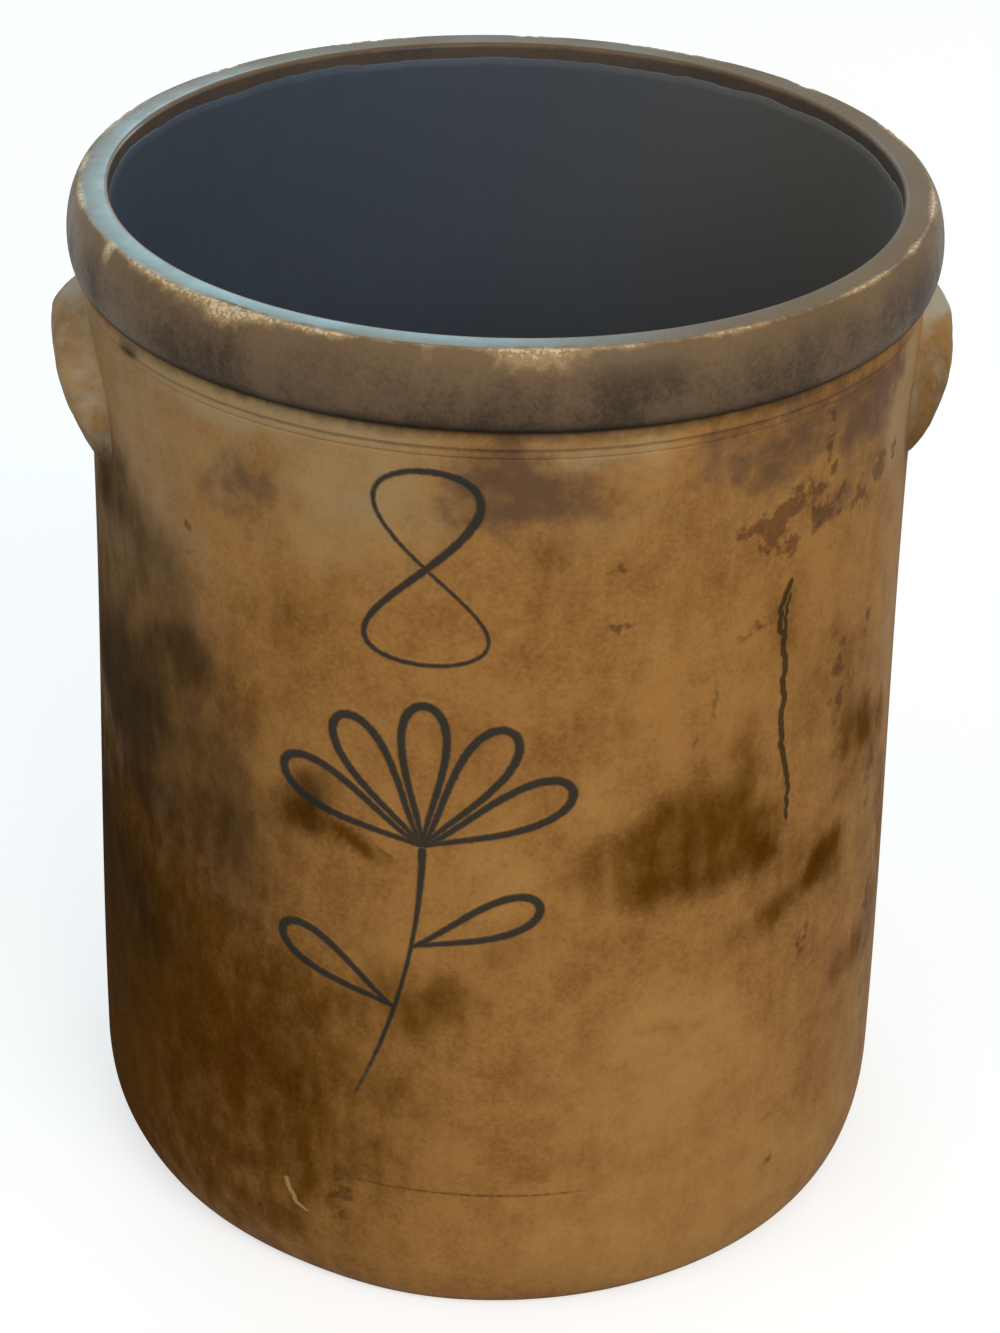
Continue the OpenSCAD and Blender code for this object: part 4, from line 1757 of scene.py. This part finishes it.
@dataclass
class WallMarks:
    """Lays strokes on the wall as low ribbons that fade into its glaze.

    turn moves the drawing to the left round the crock, in degrees. An open stroke
    narrows over tip_steps points at each end, to tip_w of its width, and carries
    tip_flow of its slip at the very end.
    """

    shop: Workshop
    turn: float
    relief: float
    lift: float = 0.05 * MM
    margin: float = 1.5
    tip_steps: float = 2.5
    tip_w: float = 0.25
    tip_flow: float = 0.3
    across_steps: int = 10

    def _on_wall(self, across: float, z: float, off: float) -> Vector:
        """A point drawn in front elevation, carried on to the wall and turned with the drawing."""
        radius = float(self.shop.shape.side_r(z)) + off
        azimuth = math.degrees(math.asin(across / radius)) - self.turn
        return around(radius, azimuth, z)

    def _ribbon(self, bm: bmesh.types.BMesh, stroke: Stroke, layer: object) -> None:
        """Adds one stroke to the mesh.

        Args:
            bm: Mesh that takes the ribbon.
            stroke: The stroke.
            layer: The bmesh layer that stores how much slip lies at each point.
        """
        path = [Vector(point) * MM for point in stroke.path]
        last = len(path) - 1
        closed = (path[0] - path[last]).length < 0.1 * MM
        made = bmesh.ops.create_grid(bm, x_segments=last, y_segments=self.across_steps, size=1)
        for vert in made["verts"]:
            share, side = (vert.co.x + 1) / 2, vert.co.y
            i = round(share * last)
            run = (path[min(i + 1, last)] - path[max(i - 1, 0)]).normalized()
            half = stroke.at(share, stroke.widths) * MM / 2 * self.margin
            ends = self.tip_steps if closed else min(share, 1 - share) * last
            tip = min(1.0, math.sqrt(max(0.0, ends) / self.tip_steps) + self.tip_w)
            place = path[i] + Vector((-run.y, run.x)) * side * half * tip
            dome = math.cos(math.pi * side / 2) ** 1.5
            flow = stroke.at(share, stroke.flow)
            vert.co = self._on_wall(place.x, place.y, self.lift + self.relief * dome * flow)
            vert[layer] = dome * flow * (1.0 if closed or 0 < i < last else self.tip_flow)

    def build(self, name: str, strokes: Sequence[Stroke]) -> bpy.types.Object:
        """Builds all the strokes of one drawing as one piece.

        Args:
            name: The piece's name.
            strokes: Its strokes.

        Returns:
            The piece, not yet dressed.
        """
        bm = bmesh.new()
        layer = bm.verts.layers.float.new(Layer.STROKE.value)
        for stroke in strokes:
            self._ribbon(bm, stroke, layer)
        bmesh.ops.recalc_face_normals(bm, faces=bm.faces)
        inward = [f for f in bm.faces if f.normal.xy.dot(f.calc_center_median().xy) < 0]
        bmesh.ops.reverse_faces(bm, faces=inward)
        piece = finish_mesh(bm, name)
        self.shop.marks.paint(piece.data, self.shop.shape)
        return piece


@dataclass
class SlipDrawing:
    """The capacity number and the flower under it, trailed in cobalt slip.

    The drawing's own sizes are in millimetres, in front elevation, and turns are in
    degrees. Places along the stem are shares of its length.
    """

    shop: Workshop
    turn: float = 14
    thickness: float = 0.4 * MM
    trail_w: float = 4
    thin_w: float = 2.2
    number_h: float = 78
    number_w: float = 42
    number_z: float = 338
    number_start: float = 60
    loop_share: float = 0.12
    flower_z: float = 222
    petal_l: float = 60
    petal_w: float = 17
    petal_turns: tuple[float, ...] = (26, 58, 90, 122, 154)
    stem_l: float = 118
    stem_sweep: float = 26
    leaf_l: float = 52
    leaf_w: float = 15
    leaf_turns: tuple[float, ...] = (24, 150)
    leaf_places: tuple[float, ...] = (0.38, 0.62)
    peak_share: float = 0.65
    path_steps: int = 120

    def _number(self) -> list[Stroke]:
        """The figure eight, as one stroke that crosses itself."""
        path = []
        for a in arc(self.path_steps * 2, self.number_start, self.number_start + 360):
            full = 1 - self.loop_share * math.cos(a)
            across = self.number_w / 2 * math.sin(2 * a) * full
            path.append((across, self.number_z + self.number_h / 2 * math.cos(a)))
        widths = (self.trail_w, self.thin_w, self.trail_w)
        return [Stroke(tuple(path), widths, flow=(1.0, 0.72, 1.0))]

    def _loop(self, root: tuple[float, float], turn: float, length: float, width: float) -> Stroke:
        """A petal or leaf: a closed loop that leaves its root and comes back.

        Args:
            root: Where it leaves from.
            turn: Its direction in degrees.
            length: Its length.
            width: Its width.

        Returns:
            The loop's stroke.
        """
        c, s = math.cos(math.radians(turn)), math.sin(math.radians(turn))
        path = []
        for a in arc(self.path_steps, 0, 360):
            along = length * (1 - math.cos(a)) / 2
            across = width / 2 / self.peak_share * math.sin(a) * (1 - math.cos(a)) / 2
            path.append((root[0] + along * c - across * s, root[1] + along * s + across * c))
        return Stroke(tuple(path), (self.thin_w, self.trail_w, self.thin_w), flow=(0.8, 1.0, 0.7))

    def _stem(self, share: float) -> tuple[float, float]:
        """A point of the stem, from the heart down."""
        return (-self.stem_sweep * share * share, self.flower_z - self.stem_l * share)

    def _flower(self) -> list[Stroke]:
        """Petals, leaves and stem."""
        petals = [
            self._loop((0, self.flower_z), turn, self.petal_l, self.petal_w)
            for turn in self.petal_turns
        ]
        leaves = [
            self._loop(self._stem(place), turn, self.leaf_l, self.leaf_w)
            for turn, place in zip(self.leaf_turns, self.leaf_places)
        ]
        stem = tuple(self._stem(share) for share in spread(0, 1, self.path_steps))
        line = Stroke(stem, (self.trail_w, self.thin_w, self.thin_w), flow=(1.0, 0.85, 0.45))
        return petals + leaves + [line]

    def build(self) -> None:
        """Builds and dresses both drawings."""
        material = MarkFinish("cobalt_slip", "#2b2c28", 0.95, thickness=0.05).make(self.shop.groups)
        marks = WallMarks(self.shop, self.turn, self.thickness)
        number = marks.build("number_slip", self._number())
        self.shop.dress(number, material, "cobalt_slip", "number_trail")
        flower = marks.build("flower_slip", self._flower())
        self.shop.dress(flower, material, "cobalt_slip", "flower_trail")


@dataclass
class AgeMarks:
    """What use has left on the wall: a hairline crack, short cracks and a scar by the foot.

    Places are pairs of azimuth in degrees and height in millimetres. Widths are in
    millimetres too.
    """

    shop: Workshop
    crack: tuple[tuple[float, float], ...] = (
        (37.2, 317), (35.4, 308), (35.3, 298), (35.9, 291), (36.6, 280), (36.9, 266),
        (36.4, 256), (36.6, 246), (37.6, 238), (38.4, 228), (38.9, 219), (38.8, 209),
    )
    twin: tuple[tuple[float, float], ...] = (
        (36.6, 311), (36.2, 304), (36.3, 297), (36.2, 291), (36.4, 285),
    )
    short_cracks: tuple[tuple[tuple[float, float], ...], ...] = (
        ((25.0, 284), (25.3, 278), (24.6, 272), (24.9, 266)),
        ((22.9, 263), (22.2, 259), (21.6, 257)),
        ((-21.5, 221), (-18.6, 216), (-16.8, 213)),
        ((-58.0, 282), (-57.8, 272)),
    )
    scar: tuple[tuple[float, float], ...] = ((-33.4, 54), (-32.7, 48), (-31.6, 42), (-29.6, 39))
    ring: tuple[tuple[float, float], ...] = ((-25, 62.6), (-12, 62), (2, 61.6), (11, 61.8))
    crack_w: float = 2.2
    short_w: float = 2.8
    ring_w: float = 1.5
    scar_w: float = 2.4

    def _line(
        self, places: Sequence[tuple[float, float]], widths: tuple[float, float, float],
        flow: float, wander: float,
    ) -> Stroke:
        """Turns a list of places into a fine, slightly wandering stroke.

        Args:
            places: Azimuths and heights along the line.
            widths: Its width at the start, middle and end, in millimetres.
            flow: How dark the line is.
            wander: How far it strays from side to side, in millimetres.

        Returns:
            The stroke, in front elevation.
        """
        s = self.shop.shape
        fine = []
        for (a0, z0), (a1, z1) in zip(places, places[1:]):
            for share in spread(0, 1, 10)[:-1]:
                z = z0 + (z1 - z0) * share
                azimuth = a0 + (a1 - a0) * share
                across = float(s.side_r(z * MM)) / MM * math.sin(math.radians(azimuth))
                stray = noise.noise(Vector((z / 9, azimuth, 1.7)))
                stray += 0.6 * noise.noise(Vector((z / 2.6, azimuth, 4.1)))
                fine.append((across + wander * stray, z))
        return Stroke(tuple(fine), widths, flow=(flow * 0.7, flow, flow * 0.7))

    def build(self) -> None:
        """Builds and dresses the cracks and the scar."""
        w, short, ring_w, wide = self.crack_w, self.short_w, self.ring_w, self.scar_w
        strokes = [
            self._line(self.crack, (w, w, w * 0.7), 1.0, 1.5),
            self._line(self.twin, (w * 0.5, w * 0.6, w * 0.4), 0.8, 1.2),
        ]
        for places in self.short_cracks:
            strokes.append(self._line(places, (short, short, short * 0.6), 0.26, 1.2))
        strokes.append(self._line(self.ring, (ring_w, ring_w, ring_w), 0.3, 0.4))
        marks = WallMarks(self.shop, turn=0, relief=0.01 * MM)
        cracks = marks.build("wall_cracks", strokes)
        dark = MarkFinish("crack_line", "#33280f", 0.9, low=0.05, high=0.5, thickness=-0.25)
        self.shop.dress(cracks, dark.make(self.shop.groups), "salt_glaze")
        scratch = self._line(self.scar, (wide, wide * 0.8, wide * 0.5), 0.8, 0.5)
        scar = marks.build("foot_scar", [scratch])
        pale = MarkFinish("foot_scar", "#b9925c", 0.75, low=0.1, high=0.6, thickness=-0.15)
        self.shop.dress(scar, pale.make(self.shop.groups), "salt_glaze")


@dataclass(frozen=True)
class PhotoCamera:
    """The photograph's own viewpoint, worked out from the mouth and foot ellipses.

    Lens and sensor are in millimetres, and pitch, roll and turn in degrees.
    """

    lens: float = 86.58
    sensor: float = 36.0
    pitch: float = 29.868
    roll: float = 1.3195
    turn: float = 5.0
    distance: float = 1160.57 * MM
    height: float = 873.59 * MM
    shift_x: float = 0.0034

    def place(self) -> None:
        """Makes the camera and the scene use it."""
        data = bpy.data.cameras.new("photo_camera")
        data.lens = self.lens
        data.sensor_width = self.sensor
        data.shift_x = self.shift_x
        camera = link_object("photo_camera", data)
        turn = math.radians(self.turn)
        look = Euler((math.radians(90 - self.pitch), 0, -turn)).to_matrix()
        roll = Matrix.Rotation(math.radians(self.roll), 3, "Z")
        camera.matrix_world = Matrix.LocRotScale(
            Vector((-self.distance * math.sin(turn), -self.distance * math.cos(turn), self.height)),
            (look @ roll).to_quaternion(),
            None,
        )
        bpy.context.scene.camera = camera


@dataclass(frozen=True)
class SoftLamp:
    """A large soft lamp that points at the middle of the crock.

    Angles are in degrees, distance and size in metres, and power in watts.
    """

    name: str
    azimuth: float
    elevation: float
    distance: float
    width: float
    tall: float
    power: float
    colour: str

    def place(self, target: Vector) -> None:
        """Hangs the lamp.

        Args:
            target: The point that it is turned towards.
        """
        data = bpy.data.lights.new(self.name, "AREA")
        data.shape = "RECTANGLE"
        data.size = self.width
        data.size_y = self.tall
        data.energy = self.power
        data.color = hex_colour(self.colour)[:3]
        lamp = link_object(self.name, data)
        level = self.distance * math.cos(math.radians(self.elevation))
        up = self.distance * math.sin(math.radians(self.elevation))
        lamp.location = target + around(level, self.azimuth, up)
        lamp.rotation_euler = (target - lamp.location).to_track_quat("-Z", "Y").to_euler()


@dataclass
class Studio:
    """Plain pale floor, soft lamps and a white surround."""

    shop: Workshop
    floor_colour: str = "#c8c8c6"
    bounce_colour: str = "#c6c6c4"
    glow: float = 0.6
    ambient: float = 0.5
    ambient_colour: str = "#f1f4f8"
    floor_size: float = 14.0
    lamps: tuple[SoftLamp, ...] = rows(
        SoftLamp,
        ("key_lamp", 22, 36, 2.6, 1.4, 1.4, 29, "#fff8ee"),
        ("fill_lamp", -56, 44, 3.0, 2.0, 1.6, 12, "#f3f6ff"),
        ("back_lamp", -169.7, 31, 2.45, 1.57, 0.5, 9.6, "#89e6ff"),
        ("edge_lamp", 140, 18, 2.6, 0.7, 0.5, 4, "#c4ecff"),
    )

    def _seen_directly(self, sheet: NodeSheet) -> Socket:
        """1 for rays from the camera and for mirrored or passed rays, else 0."""
        rays = sheet.add("LightPath").outputs
        mirrored = sheet.math("MAXIMUM", rays["Is Camera Ray"], rays["Is Glossy Ray"])
        return sheet.math("MAXIMUM", mirrored, rays["Is Transmission Ray"])

    def _world(self) -> None:
        """A white surround that lights the crock only softly."""
        world = bpy.data.worlds.new("surround")
        world.use_nodes = True
        world.node_tree.nodes.clear()
        sheet = NodeSheet(world.node_tree)
        mix = sheet.add("MixShader")
        sheet.feed(mix.inputs[0], self._seen_directly(sheet))
        lights = ((self.ambient_colour, self.ambient), ("#ffffff", 1.0))
        for place, (colour, strength) in enumerate(lights, start=1):
            light = sheet.add("Background")
            sheet.feed(light.inputs["Color"], colour)
            sheet.feed(light.inputs["Strength"], strength)
            sheet.feed(mix.inputs[place], light.outputs[0])
        output = sheet.add("OutputWorld")
        sheet.feed(output.inputs["Surface"], mix.outputs[0])
        bpy.context.scene.world = world

    def _floor(self) -> None:
        """A wide pale floor."""
        bm = bmesh.new()
        bmesh.ops.create_grid(bm, x_segments=8, y_segments=8, size=self.floor_size / 2)
        floor = finish_mesh(bm, "studio_floor")
        finish = Finish("studio_floor", self.shop.groups, Specular_IOR_Level=0.1, Roughness=0.9)
        sheet = finish.sheet
        seen = self._seen_directly(sheet)
        finish.colour(sheet.blend(seen, self.bounce_colour, self.floor_colour))
        finish.shader.inputs["Emission Color"].default_value = (1, 1, 1, 1)
        sheet.feed(finish.shader.inputs["Emission Strength"], sheet.product(seen, self.glow))
        floor.data.materials.append(finish.material)

    def build(self) -> None:
        """Sets up the floor, the surround, the lamps and the plain view transform."""
        self._world()
        self._floor()
        middle = Vector((0, 0, self.shop.shape.height / 2))
        for lamp in self.lamps:
            lamp.place(middle)
        bpy.context.scene.view_settings.view_transform = "Standard"


def main() -> None:
    """Builds the studio and every piece of the crock."""
    logging.basicConfig(level=logging.INFO, format="%(name)s: %(message)s")
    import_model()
    PhotoCamera().place()
    shop = Workshop()
    Studio(shop).build()
    body = ThrownBody(shop)
    body.floor()
    body.wall()
    RolledRim(shop).build()
    ear_glaze = EarGlaze().make(shop.groups)
    for side in Side:
        EarHandle(shop, side, ear_glaze).build()
    SlipLining(shop).build()
    SlipDrawing(shop).build()
    AgeMarks(shop).build()


if __name__ == "__main__":
    main()
